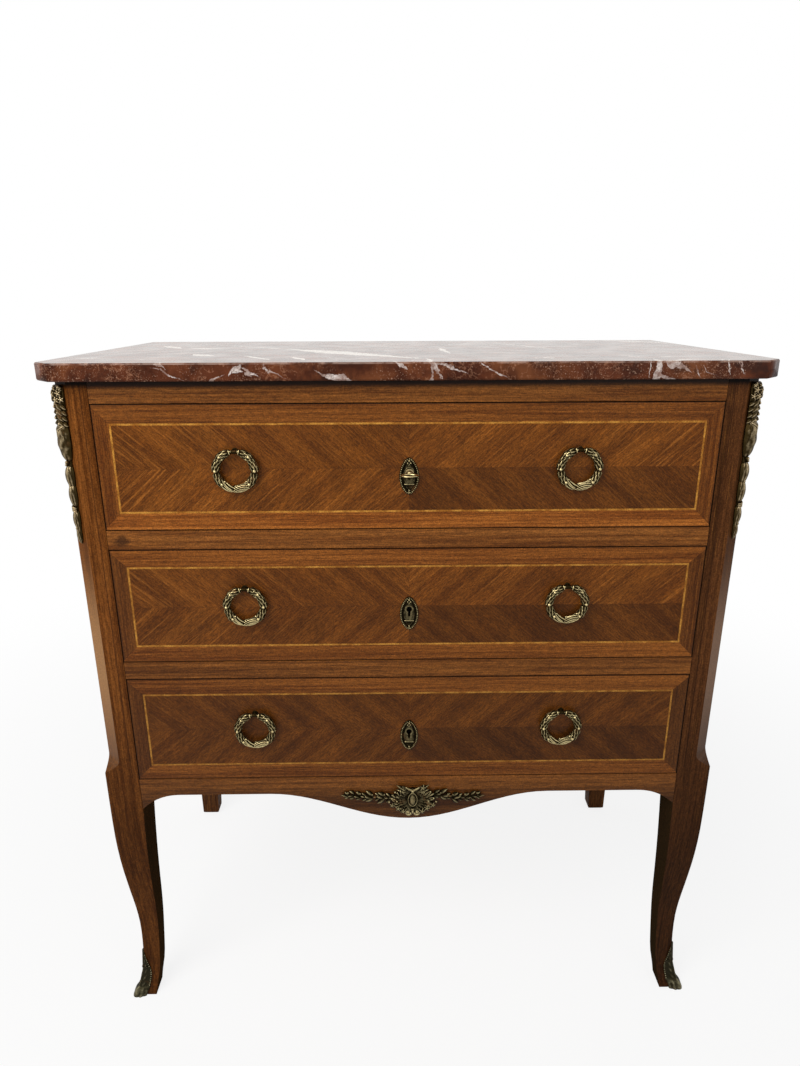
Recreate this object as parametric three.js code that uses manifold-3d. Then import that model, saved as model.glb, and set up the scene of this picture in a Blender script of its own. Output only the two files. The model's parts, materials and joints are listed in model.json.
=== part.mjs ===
// Commode chest: three inset drawers under a marble slab, on curved front legs and straight rear posts.
// Millimetres, +Z up, front towards -Y, origin on the floor under the middle of the outer box, key included.
// Pieces are modelled on the right (+X) or in the middle, and left-hand pieces are their mirror images.

import * as THREE from "three";
import { mergeVertices } from "three/addons/utils/BufferGeometryUtils.js";
import Module from "manifold-3d";

const wasm = await Module();
wasm.setup();

// Gap between fixed pieces that touch, and the overrun of a cutting solid
const FIT = 0.3;
const OVERRUN = 5;

// Marble slab
const SLAB = { thickness: 19, cant: 20, arris: 1.5, frontOverhang: 13, sideOverhang: 13, rearOverhang: 4 };

// Case outside the slab
const CASE = { width: 754, depth: 397 };

// Rails, shallower than the legs, with the tenons that enter them
const RAIL = {
  height: 22, topHeight: 23.5, setBack: 3, tenonLength: 22, tenonThickness: 12, tenonInset: 8, shoulder: 3,
};

// Front leg: a canted stile above the knee, which lies above the apron's top, and a square curved leg below
const LEG = {
  stile: 41, cant: 19.5, arris: 0.6, stopHeight: 17, kneeRise: 9.5, anklePull: 11.5, ankleWidth: 22.5,
  curveSteps: 22, stopSteps: 6,
};
const LEG_CURVE_SHARES = [
  { height: 0, pull: -0.09, width: 0.24 },
  { height: 0.04, pull: 0.3, width: 0.1 },
  { height: 0.1, pull: 0.74, width: 0.02 },
  { height: 0.21, pull: 0.97, width: 0.02 },
  { height: 0.31, pull: 1, width: 0.1 },
  { height: 0.39, pull: 0.85, width: 0.24 },
  { height: 0.48, pull: 0.57, width: 0.44 },
  { height: 0.6, pull: 0.23, width: 0.7 },
  { height: 0.71, pull: 0.05, width: 0.88 },
  { height: 0.84, pull: 0, width: 1 },
  { height: 1, pull: 0, width: 1 },
];

// Rear post, square above and tapered below the side panel on its inner and front faces
const POST = { width: 44, depth: 38, footWidth: 28, footDepth: 25, footBevel: 3 };

// Shaped lower rails: the front apron and the side panels share the bracket at their ends
const APRON = { top: 351.5, depth: 23.8, thickness: 22, lobeDrop: 38.5 };
const BRACKET = { reach: 50, drop: 20, power: 2.4 };
const SIDE = { thickness: 18, tongue: 8, tongueThickness: 8, lobeDrop: 16 };
const LOBE_REACH_SHARES = { front: 0.61, side: 0.8 };
const BACK = { thickness: 14, tongue: 8, tongueThickness: 8, inset: 4 };
const OUTLINE_STEPS = 14;
const BRACKET_STEPS = 8;

// Drawer boxes, dovetailed at the corners
const DRAWER = {
  count: 3, height: 138, gap: 1, sideSlack: 0.5, front: 20, side: 11, back: 11, bottom: 6, rearGap: 29,
  sideDrop: 10.7, backDrop: 7.7, grooveDepth: 5, grooveHeight: 9, lap: 8, tails: 3,
};
const TAIL_SHARES = { root: 0.27, end: 0.36 };

// Runner with its guide strip, tongued into the rail and the rear post
const RUNNER = {
  width: 40.7, height: 20, guideHeight: 12, guideClearance: 0.7, tongue: 8, tongueHeight: 8, tongueWidth: 15,
};

// Ring pull: a wreath hung from a plain pin in the eye of a bolted stud
const RING = {
  radius: 20.3, width: 10.4, thickness: 7.4, standoff: 5.4, pinRadius: 1.4, pinGrip: 2.2,
  endSlack: 1.1, endWidth: 6, endThickness: 6, fromMiddle: 186, steps: 28, sides: 6, lobes: 7,
};
// How far each hand-set ring lies outward of and above its place, in shares of the ring's radius
const PULL_SHIFT_SHARES = [
  { left: 0.05, right: -0.1, rise: -0.05 },
  { left: 0.05, right: -0.25, rise: 0.15 },
  { left: 0, right: -0.1, rise: 0.12 },
];
const RING_LOBE_SHARE = 0.1;
const RING_TAPER_SHARE = 0.12;
const STUD = {
  shankRadius: 2.2, holeSlack: 0.4, eyeRadius: 4, eyeWidth: 6.4, pinSlack: 0.45, neckRadius: 2.8,
  roseRadius: 5.2, roseHeight: 1.2, nutRadius: 5, nutHeight: 4, sides: 12, nutSides: 6,
};

// Lock, keyhole plate and key
const LOCK = {
  width: 56, thickness: 9, keyDrop: 4, tail: 27, boltWidth: 18, boltThickness: 4, boltRise: 9.5,
  boltThrow: 6, plate: 1.5, wardSlack: 1.7, sides: 20,
};
const KEYHOLE = { stemSlack: 0.7, bitSlack: 0.3, woodMargin: 0.5, sides: 12 };
const PLATE = {
  width: 21.5, height: 41, keyDrop: 5.5, thickness: 1.4, rimWidth: 3, rimHeight: 2.8, sides: 28,
};
const KEY = {
  stemRadius: 2.3, stemFront: 16, bitLength: 7.8, bitWidth: 2, bitSlack: 1.1, collarRadius: 4,
  collarLength: 3, collarAt: 5, bowWidth: 19, bowLength: 15, bowThickness: 3, bowRim: 3.6, sides: 12,
  bowSides: 24,
};

// Gilt mounts
const CHUTE = {
  length: 172, drop: 9, backing: 1.6, baseWidth: 7, halfWidth: 9, height: 8, sides: 8, rings: 5,
};
const CHUTE_SHARES = [
  { at: 0.045, length: 0.05, width: 0.94, height: 1, shift: 0 },
  { at: 0.1, length: 0.045, width: 0.72, height: 0.88, shift: -0.56 },
  { at: 0.105, length: 0.045, width: 0.72, height: 0.88, shift: 0.56 },
  { at: 0.17, length: 0.06, width: 1, height: 1, shift: 0 },
  { at: 0.34, length: 0.15, width: 0.94, height: 0.94, shift: 0 },
  { at: 0.5, length: 0.03, width: 0.56, height: 0.75, shift: 0 },
  { at: 0.58, length: 0.07, width: 0.78, height: 0.75, shift: 0 },
  { at: 0.71, length: 0.07, width: 0.69, height: 0.69, shift: 0 },
  { at: 0.83, length: 0.06, width: 0.58, height: 0.62, shift: 0 },
  { at: 0.94, length: 0.06, width: 0.4, height: 0.5, shift: 0 },
];
const SABOT = {
  thickness: 2, height: 60, footHalfWidth: 12, waistHalfWidth: 9, wrapMargin: 6, toeRadius: 9, toeHeight: 12,
  toePush: 3.5, sides: 12,
};
const SABOT_WAIST_SHARE = 0.45;
const SPRAY = {
  width: 175, lobeRise: 28.8, shift: 4.5, backing: 1.6, cabochonWidth: 17, cabochonHeight: 25,
  cabochonDepth: 7, crestWidth: 11, crestHeight: 23.5, leafDepth: 5, leafWidth: 8, stemHalfWidth: 2.5,
  sides: 8, bossSides: 16, rings: 5,
};
const SPRAY_LEAF_SHARES = [
  { at: 0.2, rise: 0.1, length: 0.16, width: 1, turn: 0.5 },
  { at: 0.22, rise: -0.12, length: 0.15, width: 0.94, turn: -0.5 },
  { at: 0.42, rise: 0.03, length: 0.15, width: 0.69, turn: 0.25 },
  { at: 0.56, rise: -0.03, length: 0.15, width: 0.62, turn: -0.25 },
  { at: 0.72, rise: 0.01, length: 0.14, width: 0.52, turn: 0.12 },
  { at: 0.87, rise: 0, length: 0.13, width: 0.38, turn: 0 },
];
const SPRAY_CREST_SHARES = [
  { across: -0.3, turn: 0.6 },
  { across: 0, turn: 0 },
  { across: 0.3, turn: -0.6 },
];

// Sizes that follow from the driving ones
const frontReach = Math.max(SLAB.frontOverhang, KEY.stemFront + KEY.bowLength);
const caseFront = (frontReach - CASE.depth - SLAB.rearOverhang) / 2;
const halfCase = CASE.width / 2;
const halfOpening = halfCase - LEG.stile;
const openingHeight = DRAWER.height + 2 * DRAWER.gap;
const drawerPitch = openingHeight + RAIL.height;
const caseHeight = APRON.top + DRAWER.count * drawerPitch - RAIL.height + RAIL.topHeight;
const postFront = CASE.depth - POST.depth;
const apronFlat = APRON.top - APRON.depth;
const kneeHeight = APRON.top + LEG.kneeRise;
const railDepth = LEG.stile - RAIL.setBack;
const halfDrawer = halfOpening - DRAWER.gap;
const boxHalf = halfDrawer - DRAWER.sideSlack;
const boxDepth = CASE.depth - BACK.inset - BACK.thickness - DRAWER.rearGap;
const keyAxis = DRAWER.height / 2 - LOCK.keyDrop;
const wardRadius = KEY.bitLength + LOCK.wardSlack;
const boltFront = DRAWER.front - LOCK.thickness / 2 - LOCK.boltThickness / 2;
const openingBottoms = [];
for (let level = 0; level < DRAWER.count; level += 1) {
  openingBottoms.push(APRON.top + (DRAWER.count - 1 - level) * drawerPitch);
}

// Material finishes
const FINISHES = {
  marble: { color: 0x7a3b30, roughness: 0.25, metalness: 0 },
  veneer: { color: 0x7d451f, roughness: 0.4, metalness: 0 },
  innerWood: { color: 0x9c7446, roughness: 0.7, metalness: 0 },
  brass: { color: 0x8c7a45, roughness: 0.4, metalness: 1 },
  iron: { color: 0x55504a, roughness: 0.5, metalness: 1 },
};

// Solids

function solid(geometry) {
  geometry.deleteAttribute("normal");
  geometry.deleteAttribute("uv");
  const welded = mergeVertices(geometry);
  const corners = [];
  for (let i = 0; i < welded.index.count; i += 3) {
    const triangle = [welded.index.getX(i), welded.index.getX(i + 1), welded.index.getX(i + 2)];
    if (new Set(triangle).size === 3) corners.push(...triangle);
  }
  const vertProperties = new Float32Array(welded.attributes.position.array);
  return new wasm.Manifold(new wasm.Mesh({ numProp: 3, vertProperties, triVerts: new Uint32Array(corners) }));
}

function block([x0, x1], [y0, y1], [z0, z1]) {
  const geometry = new THREE.BoxGeometry(x1 - x0, y1 - y0, z1 - z0);
  geometry.translate((x0 + x1) / 2, (y0 + y1) / 2, (z0 + z1) / 2);
  return solid(geometry);
}

// A prism of an outline: along X the outline is (y, z), along -Y it is (x, z), along Z it is (x, y)
function prism(points, axis, from, to) {
  const shape = new THREE.Shape(points.map(([a, b]) => new THREE.Vector2(a, b)));
  const geometry = new THREE.ExtrudeGeometry(shape, { depth: Math.abs(to - from), bevelEnabled: false });
  const x = new THREE.Vector3(1, 0, 0);
  const y = new THREE.Vector3(0, 1, 0);
  const z = new THREE.Vector3(0, 0, 1);
  const frame = new THREE.Matrix4();
  if (axis === "x") frame.makeBasis(y, z, x).setPosition(Math.min(from, to), 0, 0);
  if (axis === "y") frame.makeBasis(x, z, y.clone().negate()).setPosition(0, Math.max(from, to), 0);
  if (axis === "z") frame.setPosition(0, 0, Math.min(from, to));
  geometry.applyMatrix4(frame);
  return solid(geometry);
}

// A solid through closed sections that hold the same number of points, all convex, from the lowest up
function loft(sections) {
  const count = sections[0].length;
  const positions = sections.flat(2);
  const index = [];
  for (let s = 0; s < sections.length - 1; s += 1) {
    for (let i = 0; i < count; i += 1) {
      const a = s * count + i;
      const b = s * count + ((i + 1) % count);
      index.push(a, b, b + count, a, b + count, a + count);
    }
  }
  const last = (sections.length - 1) * count;
  for (let i = 1; i < count - 1; i += 1) {
    index.push(0, i + 1, i);
    index.push(last, last + i, last + i + 1);
  }
  const geometry = new THREE.BufferGeometry();
  geometry.setAttribute("position", new THREE.Float32BufferAttribute(positions, 3));
  geometry.setIndex(index);
  return solid(geometry);
}

// A round bar along an axis, centred across it
function bar(axis, radius, [from, to], sides, [a, b]) {
  const geometry = new THREE.CylinderGeometry(radius, radius, to - from, sides);
  const middle = (from + to) / 2;
  if (axis === "x") geometry.rotateZ(-Math.PI / 2).translate(middle, a, b);
  if (axis === "y") geometry.translate(a, middle, b);
  if (axis === "z") geometry.rotateX(Math.PI / 2).translate(a, b, middle);
  return solid(geometry);
}

// A flattened ball with its own half sizes, turned about the Y axis
function drop([hx, hy, hz], turn, [x, y, z], sides, rings) {
  const geometry = new THREE.SphereGeometry(1, sides, rings);
  geometry.scale(hx, hy, hz).rotateY(turn).translate(x, y, z);
  return solid(geometry);
}

// Everything in front of a mounting face, a fit away from it
function frontHalf(reach) {
  return block([-reach, reach], [-reach, -FIT], [-reach, reach]);
}

function union(solids) {
  return solids.reduce((total, next) => total.add(next));
}

function cut(base, cutters) {
  return cutters.reduce((rest, cutter) => rest.subtract(cutter), base);
}

// Meshes

function geometryOf(manifold) {
  const mesh = manifold.getMesh();
  const geometry = new THREE.BufferGeometry();
  geometry.setAttribute("position", new THREE.BufferAttribute(mesh.vertProperties, 3));
  geometry.setIndex(new THREE.BufferAttribute(mesh.triVerts, 1));
  geometry.computeVertexNormals();
  return geometry;
}

function mirrored(geometry) {
  const twin = geometry.clone();
  twin.scale(-1, 1, 1);
  const index = twin.index.array;
  for (let i = 0; i < index.length; i += 3) [index[i], index[i + 1]] = [index[i + 1], index[i]];
  twin.computeVertexNormals();
  return twin;
}

function mirroredSolids(solids) {
  return solids.flatMap((item) => [item, solid(mirrored(geometryOf(item)))]);
}

function piece(parent, name, geometry, finish) {
  const mesh = new THREE.Mesh(geometry, new THREE.MeshStandardMaterial(FINISHES[finish]));
  mesh.name = name;
  parent.add(mesh);
  return mesh;
}

function pair(parent, name, manifold, finish) {
  const geometry = geometryOf(manifold);
  piece(parent, `${name}_right`, geometry, finish);
  piece(parent, `${name}_left`, mirrored(geometry), finish);
}

// Slab

function slab() {
  const front = -SLAB.frontOverhang;
  const back = CASE.depth + SLAB.rearOverhang;
  const half = halfCase + SLAB.sideOverhang;
  const section = (inset, z) => [
    [-half + inset, back - inset, z],
    [-half + inset, front + SLAB.cant, z],
    [-half + SLAB.cant, front + inset, z],
    [half - SLAB.cant, front + inset, z],
    [half - inset, front + SLAB.cant, z],
    [half - inset, back - inset, z],
  ];
  const bottom = caseHeight + FIT;
  const top = caseHeight + SLAB.thickness;
  return loft([
    section(SLAB.arris, bottom),
    section(0, bottom + SLAB.arris),
    section(0, top - SLAB.arris),
    section(SLAB.arris, top),
  ]);
}

// Front leg

function legStations() {
  const points = LEG_CURVE_SHARES.map(({ height, pull, width }) => new THREE.Vector3(
    pull * LEG.anklePull,
    LEG.ankleWidth + width * (LEG.stile - LEG.ankleWidth),
    height * kneeHeight,
  ));
  const curve = new THREE.CatmullRomCurve3(points);
  const stations = curve.getPoints(LEG.curveSteps)
    .map(({ x, y, z }) => ({ pull: x, width: y, z, cant: LEG.arris }));
  for (let step = 1; step <= LEG.stopSteps; step += 1) {
    const share = step / LEG.stopSteps;
    const cant = LEG.arris + (LEG.cant - LEG.arris) * Math.sin((share * Math.PI) / 2);
    stations.push({ pull: 0, width: LEG.stile, z: kneeHeight + share * LEG.stopHeight, cant });
  }
  stations.push({ pull: 0, width: LEG.stile, z: caseHeight, cant: LEG.cant });
  return stations;
}

// The leg's section grows outward at its two shown faces by the given skin
function legBody(skin) {
  return loft(legStations().map(({ pull, width, z, cant }) => {
    const corner = halfCase - pull + skin;
    const front = pull - skin;
    const inner = corner - width - skin;
    const rear = front + width + skin;
    return [
      [inner, front, z],
      [corner - cant, front, z],
      [corner, front + cant, z],
      [corner, rear, z],
      [inner, rear, z],
    ];
  }));
}

function railTenon(bottom, height, clearance) {
  const x = [halfOpening - OVERRUN, halfOpening + RAIL.tenonLength - FIT + clearance];
  const y = [RAIL.tenonInset - clearance, RAIL.tenonInset + RAIL.tenonThickness + clearance];
  return block(x, y, [bottom + RAIL.shoulder - clearance, bottom + height - RAIL.shoulder + clearance]);
}

function sideTongue(clearance) {
  const middle = halfCase - SIDE.thickness / 2;
  const half = SIDE.tongueThickness / 2 + clearance;
  const y = [LEG.stile - SIDE.tongue + FIT - clearance, postFront + SIDE.tongue - FIT + clearance];
  const z = [apronFlat - clearance, caseHeight + clearance];
  return block([middle - half, middle + half], y, z);
}

// Heights of the rails between drawers, from the top down
const railBottoms = openingBottoms.slice(0, -1).map((bottom) => bottom - RAIL.height);
const topRailBottom = caseHeight - RAIL.topHeight;

function frontLeg() {
  const mortises = railBottoms.map((bottom) => railTenon(bottom, RAIL.height, FIT));
  mortises.push(railTenon(topRailBottom, RAIL.topHeight, FIT));
  mortises.push(railTenon(apronFlat, APRON.depth, FIT));
  mortises.push(sideTongue(FIT));
  return cut(legBody(0), mortises);
}

// Rails

function boltMortise(bottom) {
  const half = LOCK.boltWidth / 2 + DRAWER.gap;
  const y = [boltFront - DRAWER.gap, boltFront + LOCK.boltThickness + DRAWER.gap];
  return block([-half, half], y, [bottom - OVERRUN, bottom + LOCK.boltThrow + DRAWER.gap]);
}

function withTenons(body, bottom, height) {
  return union([body, ...mirroredSolids([railTenon(bottom, height, 0)])]);
}

function rail(bottom, height, runnerTop) {
  const half = halfOpening - FIT;
  const body = withTenons(block([-half, half], [0, railDepth], [bottom, bottom + height]), bottom, height);
  const sockets = [boltMortise(bottom)];
  if (runnerTop) sockets.push(...runnerTongues(runnerTop, railDepth, FIT));
  return cut(body, sockets);
}

// Outline of a shaped lower edge, from the left end to the right, above it the straight top
function shapedOutline(half, reachShare, lobeDrop, flat, top) {
  const right = [];
  const bracketStart = half - BRACKET.reach;
  const lobeReach = bracketStart * reachShare;
  for (let step = 0; step <= OUTLINE_STEPS; step += 1) {
    const share = step / OUTLINE_STEPS;
    right.push([share * lobeReach, flat - (lobeDrop * (1 + Math.cos(share * Math.PI))) / 2]);
  }
  for (let step = 0; step <= BRACKET_STEPS; step += 1) {
    const share = step / BRACKET_STEPS;
    right.push([bracketStart + share * BRACKET.reach, flat - BRACKET.drop * share ** BRACKET.power]);
  }
  right.push([half, top]);
  const left = right.slice(1).map(([a, b]) => [-a, b]).reverse();
  return [...left, ...right];
}

function frontApron() {
  const half = halfOpening - FIT;
  const outline = shapedOutline(half, LOBE_REACH_SHARES.front, APRON.lobeDrop, apronFlat, APRON.top);
  const body = prism(outline, "y", 0, APRON.thickness);
  const tenoned = withTenons(body, apronFlat, APRON.depth);
  return cut(tenoned, runnerTongues(APRON.top, APRON.thickness, FIT));
}

function sidePanel() {
  const length = postFront - LEG.stile;
  const middle = LEG.stile + length / 2;
  const half = length / 2 - FIT;
  const outline = shapedOutline(half, LOBE_REACH_SHARES.side, SIDE.lobeDrop, apronFlat, caseHeight);
  const shifted = outline.map(([a, b]) => [a + middle, b]);
  return prism(shifted, "x", halfCase - SIDE.thickness, halfCase).add(sideTongue(0));
}

// Rear

function backTongue(clearance) {
  const reach = halfCase - POST.width + BACK.tongue - FIT + clearance;
  const middle = CASE.depth - BACK.inset - BACK.thickness / 2;
  const half = BACK.tongueThickness / 2 + clearance;
  const z = [apronFlat - clearance, caseHeight + clearance];
  return block([-reach, reach], [middle - half, middle + half], z);
}

function backPanel() {
  const half = halfCase - POST.width - FIT;
  const back = CASE.depth - BACK.inset;
  const board = block([-half, half], [back - BACK.thickness, back], [apronFlat, caseHeight]);
  return board.add(backTongue(0));
}

function rearPost() {
  const section = (width, depth, bevel, z) => [
    [halfCase - width + bevel, CASE.depth - depth + bevel, z],
    [halfCase - bevel, CASE.depth - depth + bevel, z],
    [halfCase - bevel, CASE.depth - bevel, z],
    [halfCase - width + bevel, CASE.depth - bevel, z],
  ];
  const body = loft([
    section(POST.footWidth, POST.footDepth, POST.footBevel, 0),
    section(POST.footWidth, POST.footDepth, 0, POST.footBevel),
    section(POST.width, POST.depth, 0, apronFlat - BRACKET.drop),
    section(POST.width, POST.depth, 0, caseHeight),
  ]);
  const sockets = openingBottoms.flatMap((top) => rearRunnerTongue(top, FIT));
  return cut(body, [sideTongue(FIT), backTongue(FIT), ...sockets]);
}

// Runners

const runnerOuter = halfCase - SIDE.thickness - FIT;
const runnerInner = runnerOuter - RUNNER.width;

function runnerTongue(top, x, y, clearance) {
  const middle = top - RUNNER.height / 2;
  const half = RUNNER.tongueHeight / 2 + clearance;
  const grown = ([low, high]) => [low - clearance, high + clearance];
  return block(grown(x), grown(y), [middle - half, middle + half]);
}

function frontRunnerTongue(top, depth, clearance) {
  const x = [runnerInner + FIT, runnerInner + RUNNER.tongueWidth];
  return runnerTongue(top, x, [depth - RUNNER.tongue, LEG.stile + OVERRUN], clearance);
}

function runnerTongues(top, depth, clearance) {
  return mirroredSolids([frontRunnerTongue(top, depth, clearance)]);
}

function rearRunnerTongue(top, clearance) {
  const outer = runnerOuter - FIT;
  const y = [postFront - OVERRUN, postFront + RUNNER.tongue];
  return runnerTongue(top, [outer - RUNNER.tongueWidth, outer], y, clearance);
}

// A runner behind a rail or apron of the given depth
function runner(top, depth) {
  const y = [LEG.stile + FIT, postFront - FIT];
  const z = [top - RUNNER.height, top];
  const guideInner = boxHalf + RUNNER.guideClearance;
  return union([
    block([runnerInner, runnerOuter], y, z),
    block([runnerInner, halfOpening - FIT], [depth + FIT, y[0] + OVERRUN], z),
    block([guideInner, runnerOuter], y, [z[0], top + RUNNER.guideHeight]),
    frontRunnerTongue(top, depth, 0),
    rearRunnerTongue(top, 0),
  ]);
}

// Drawer pieces: the drawer's own zero is the lower front edge of its front, in the middle

const sideBottom = FIT - DRAWER.gap;
const grooveBottom = sideBottom + DRAWER.grooveHeight;
const bottomTop = grooveBottom + DRAWER.bottom;
const sideTop = DRAWER.height - DRAWER.sideDrop;
const sideInner = boxHalf - DRAWER.side;

function bottomGroove(clearance) {
  const half = sideInner + DRAWER.grooveDepth - FIT + clearance;
  const front = DRAWER.front - DRAWER.grooveDepth + FIT - clearance;
  const z = [grooveBottom - clearance, bottomTop + clearance];
  return block([-half, half], [front, boxDepth + (clearance > 0 ? OVERRUN : 0)], z);
}

// Tails on the right-hand side board, towards the front or the back
function tails(root, end, clearance, [inner, outer]) {
  const pitch = (sideTop - sideBottom) / DRAWER.tails;
  const beyond = root + Math.sign(root - end) * OVERRUN;
  const list = [];
  for (let i = 0; i < DRAWER.tails; i += 1) {
    const middle = sideBottom + (i + 1 / 2) * pitch;
    const rootHalf = pitch * TAIL_SHARES.root + clearance;
    const endHalf = pitch * TAIL_SHARES.end + clearance;
    const points = [
      [end, middle - endHalf], [root, middle - rootHalf], [beyond, middle - rootHalf],
      [beyond, middle + rootHalf], [root, middle + rootHalf], [end, middle + endHalf],
    ];
    const outline = end < root ? points : points.reverse();
    list.push(prism(outline, "x", inner, outer));
  }
  return list;
}

const backFront = boxDepth - DRAWER.back;

function drawerSide() {
  const board = block(
    [sideInner, boxHalf],
    [DRAWER.front + FIT, backFront - FIT],
    [sideBottom, sideTop],
  );
  const frontTails = tails(DRAWER.front + FIT, DRAWER.lap + FIT, 0, [sideInner, boxHalf]);
  const rearTails = tails(backFront - FIT, boxDepth, 0, [sideInner, boxHalf]);
  return cut(union([board, ...frontTails, ...rearTails]), [bottomGroove(FIT)]);
}

function lockRecess(clearance) {
  const half = LOCK.width / 2 + clearance;
  const y = [DRAWER.front - LOCK.thickness - clearance, DRAWER.front + (clearance > 0 ? OVERRUN : 0)];
  const top = DRAWER.height + (clearance > 0 ? OVERRUN : 0);
  return block([-half, half], y, [keyAxis - LOCK.tail - clearance, top]);
}

function keyholeCutter(margin, [from, to]) {
  const radius = KEY.stemRadius + KEYHOLE.stemSlack + margin;
  const half = KEY.bitWidth / 2 + KEYHOLE.bitSlack + margin;
  const slotBottom = keyAxis - KEY.bitLength - KEYHOLE.stemSlack - margin;
  const slot = block([-half, half], [from, to], [slotBottom, keyAxis]);
  return bar("y", radius, [from, to], KEYHOLE.sides, [0, keyAxis]).add(slot);
}

function studHole({ x, z }) {
  const radius = STUD.shankRadius + STUD.holeSlack;
  return bar("y", radius, [-OVERRUN, DRAWER.front + OVERRUN], STUD.sides, [x, z + RING.radius]);
}

function pullCentres(level) {
  const { left, right, rise } = PULL_SHIFT_SHARES[level];
  const z = DRAWER.height / 2 + rise * RING.radius;
  return [
    { hand: "right", x: RING.fromMiddle + right * RING.radius, z },
    { hand: "left", x: -RING.fromMiddle - left * RING.radius, z },
  ];
}

function drawerFront(level) {
  const board = block([-halfDrawer, halfDrawer], [0, DRAWER.front], [0, DRAWER.height]);
  const sockets = tails(DRAWER.front + FIT, DRAWER.lap, FIT, [sideInner - FIT, halfDrawer + OVERRUN]);
  return cut(board, [
    ...mirroredSolids(sockets),
    bottomGroove(FIT),
    lockRecess(FIT),
    keyholeCutter(KEYHOLE.woodMargin, [-OVERRUN, DRAWER.front]),
    ...pullCentres(level).map(studHole),
  ]);
}

function drawerBack() {
  const z = [bottomTop + FIT, sideTop - DRAWER.backDrop];
  const board = block([-boxHalf, boxHalf], [backFront, boxDepth], z);
  const sockets = tails(backFront - FIT, boxDepth + FIT, FIT, [sideInner - FIT, boxHalf + OVERRUN]);
  return cut(board, mirroredSolids(sockets));
}

// Ring pull: the ring's own zero is its centre on the plane of the drawer front

function wreath() {
  const endHalfGap = STUD.eyeWidth / 2 + RING.endSlack;
  const start = Math.asin(endHalfGap / RING.radius);
  const sections = [];
  for (let step = 0; step <= RING.steps; step += 1) {
    const share = step / RING.steps;
    const angle = start + share * (2 * Math.PI - 2 * start);
    const fade = Math.min(1, Math.min(share, 1 - share) / RING_TAPER_SHARE);
    const lobe = 1 - RING_LOBE_SHARE * (1 - Math.abs(Math.sin(share * Math.PI * RING.lobes)));
    const halfWidth = ((RING.endWidth + (RING.width - RING.endWidth) * fade) / 2) * lobe;
    const halfThick = ((RING.endThickness + (RING.thickness - RING.endThickness) * fade) / 2) * lobe;
    const section = [];
    for (let side = 0; side < RING.sides; side += 1) {
      const turn = (2 * Math.PI * (side + 1 / 2)) / RING.sides;
      const radius = RING.radius + Math.cos(turn) * halfWidth;
      const depth = Math.sin(turn) * halfThick - RING.standoff;
      section.push([Math.sin(angle) * radius, depth, Math.cos(angle) * radius]);
    }
    sections.push(section.reverse());
  }
  const pinReach = endHalfGap + RING.pinGrip;
  const pin = bar("x", RING.pinRadius, [-pinReach, pinReach], STUD.sides, [-RING.standoff, RING.radius]);
  return loft(sections).add(pin);
}

function stud() {
  const z = RING.radius;
  const centre = [-RING.standoff, z];
  const eye = bar("x", STUD.eyeRadius, [-STUD.eyeWidth / 2, STUD.eyeWidth / 2], STUD.sides, centre);
  const holeRadius = RING.pinRadius + STUD.pinSlack;
  const hole = bar("x", holeRadius, [-STUD.eyeWidth, STUD.eyeWidth], STUD.sides, centre);
  const neckFront = -RING.standoff + holeRadius;
  const nutFront = DRAWER.front + FIT;
  return union([
    eye,
    bar("y", STUD.neckRadius, [neckFront, 0], STUD.sides, [0, z]),
    bar("y", STUD.roseRadius, [-STUD.roseHeight - FIT, -FIT], STUD.sides, [0, z]),
    bar("y", STUD.shankRadius, [-STUD.roseHeight, nutFront + STUD.nutHeight], STUD.sides, [0, z]),
    bar("y", STUD.nutRadius, [nutFront, nutFront + STUD.nutHeight], STUD.nutSides, [0, z]),
  ]).subtract(hole);
}

// Lock, bolt, keyhole plate and key, in the drawer's own place

function boltSolid(clearance, top) {
  const half = LOCK.boltWidth / 2 + clearance;
  const y = [boltFront - clearance, boltFront + LOCK.boltThickness + clearance];
  return block([-half, half], y, [keyAxis + wardRadius + LOCK.boltRise - clearance, top]);
}

function lockCase() {
  const front = DRAWER.front - LOCK.thickness;
  const wards = [front + LOCK.plate, DRAWER.front - LOCK.plate];
  return cut(lockRecess(0), [
    boltSolid(FIT, DRAWER.height + OVERRUN),
    bar("y", wardRadius, wards, LOCK.sides, [0, keyAxis]),
    keyholeCutter(0, [front - OVERRUN, front + LOCK.plate + FIT]),
  ]);
}

// An oval plate with a raised rim, turned round and then narrowed
function keyholePlate() {
  const outer = PLATE.height / 2;
  const inner = outer - PLATE.rimWidth;
  const profile = [
    [0, 0], [outer, 0], [outer, PLATE.thickness], [outer - PLATE.rimWidth / 2, PLATE.rimHeight],
    [inner, PLATE.thickness], [0, PLATE.thickness],
  ];
  const geometry = new THREE.LatheGeometry(profile.map(([a, b]) => new THREE.Vector2(a, b)), PLATE.sides);
  geometry.rotateX(Math.PI).scale(PLATE.width / PLATE.height, 1, 1);
  geometry.translate(0, -FIT, keyAxis - PLATE.keyDrop);
  return solid(geometry).subtract(keyholeCutter(0, [-OVERRUN, OVERRUN]));
}

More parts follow.
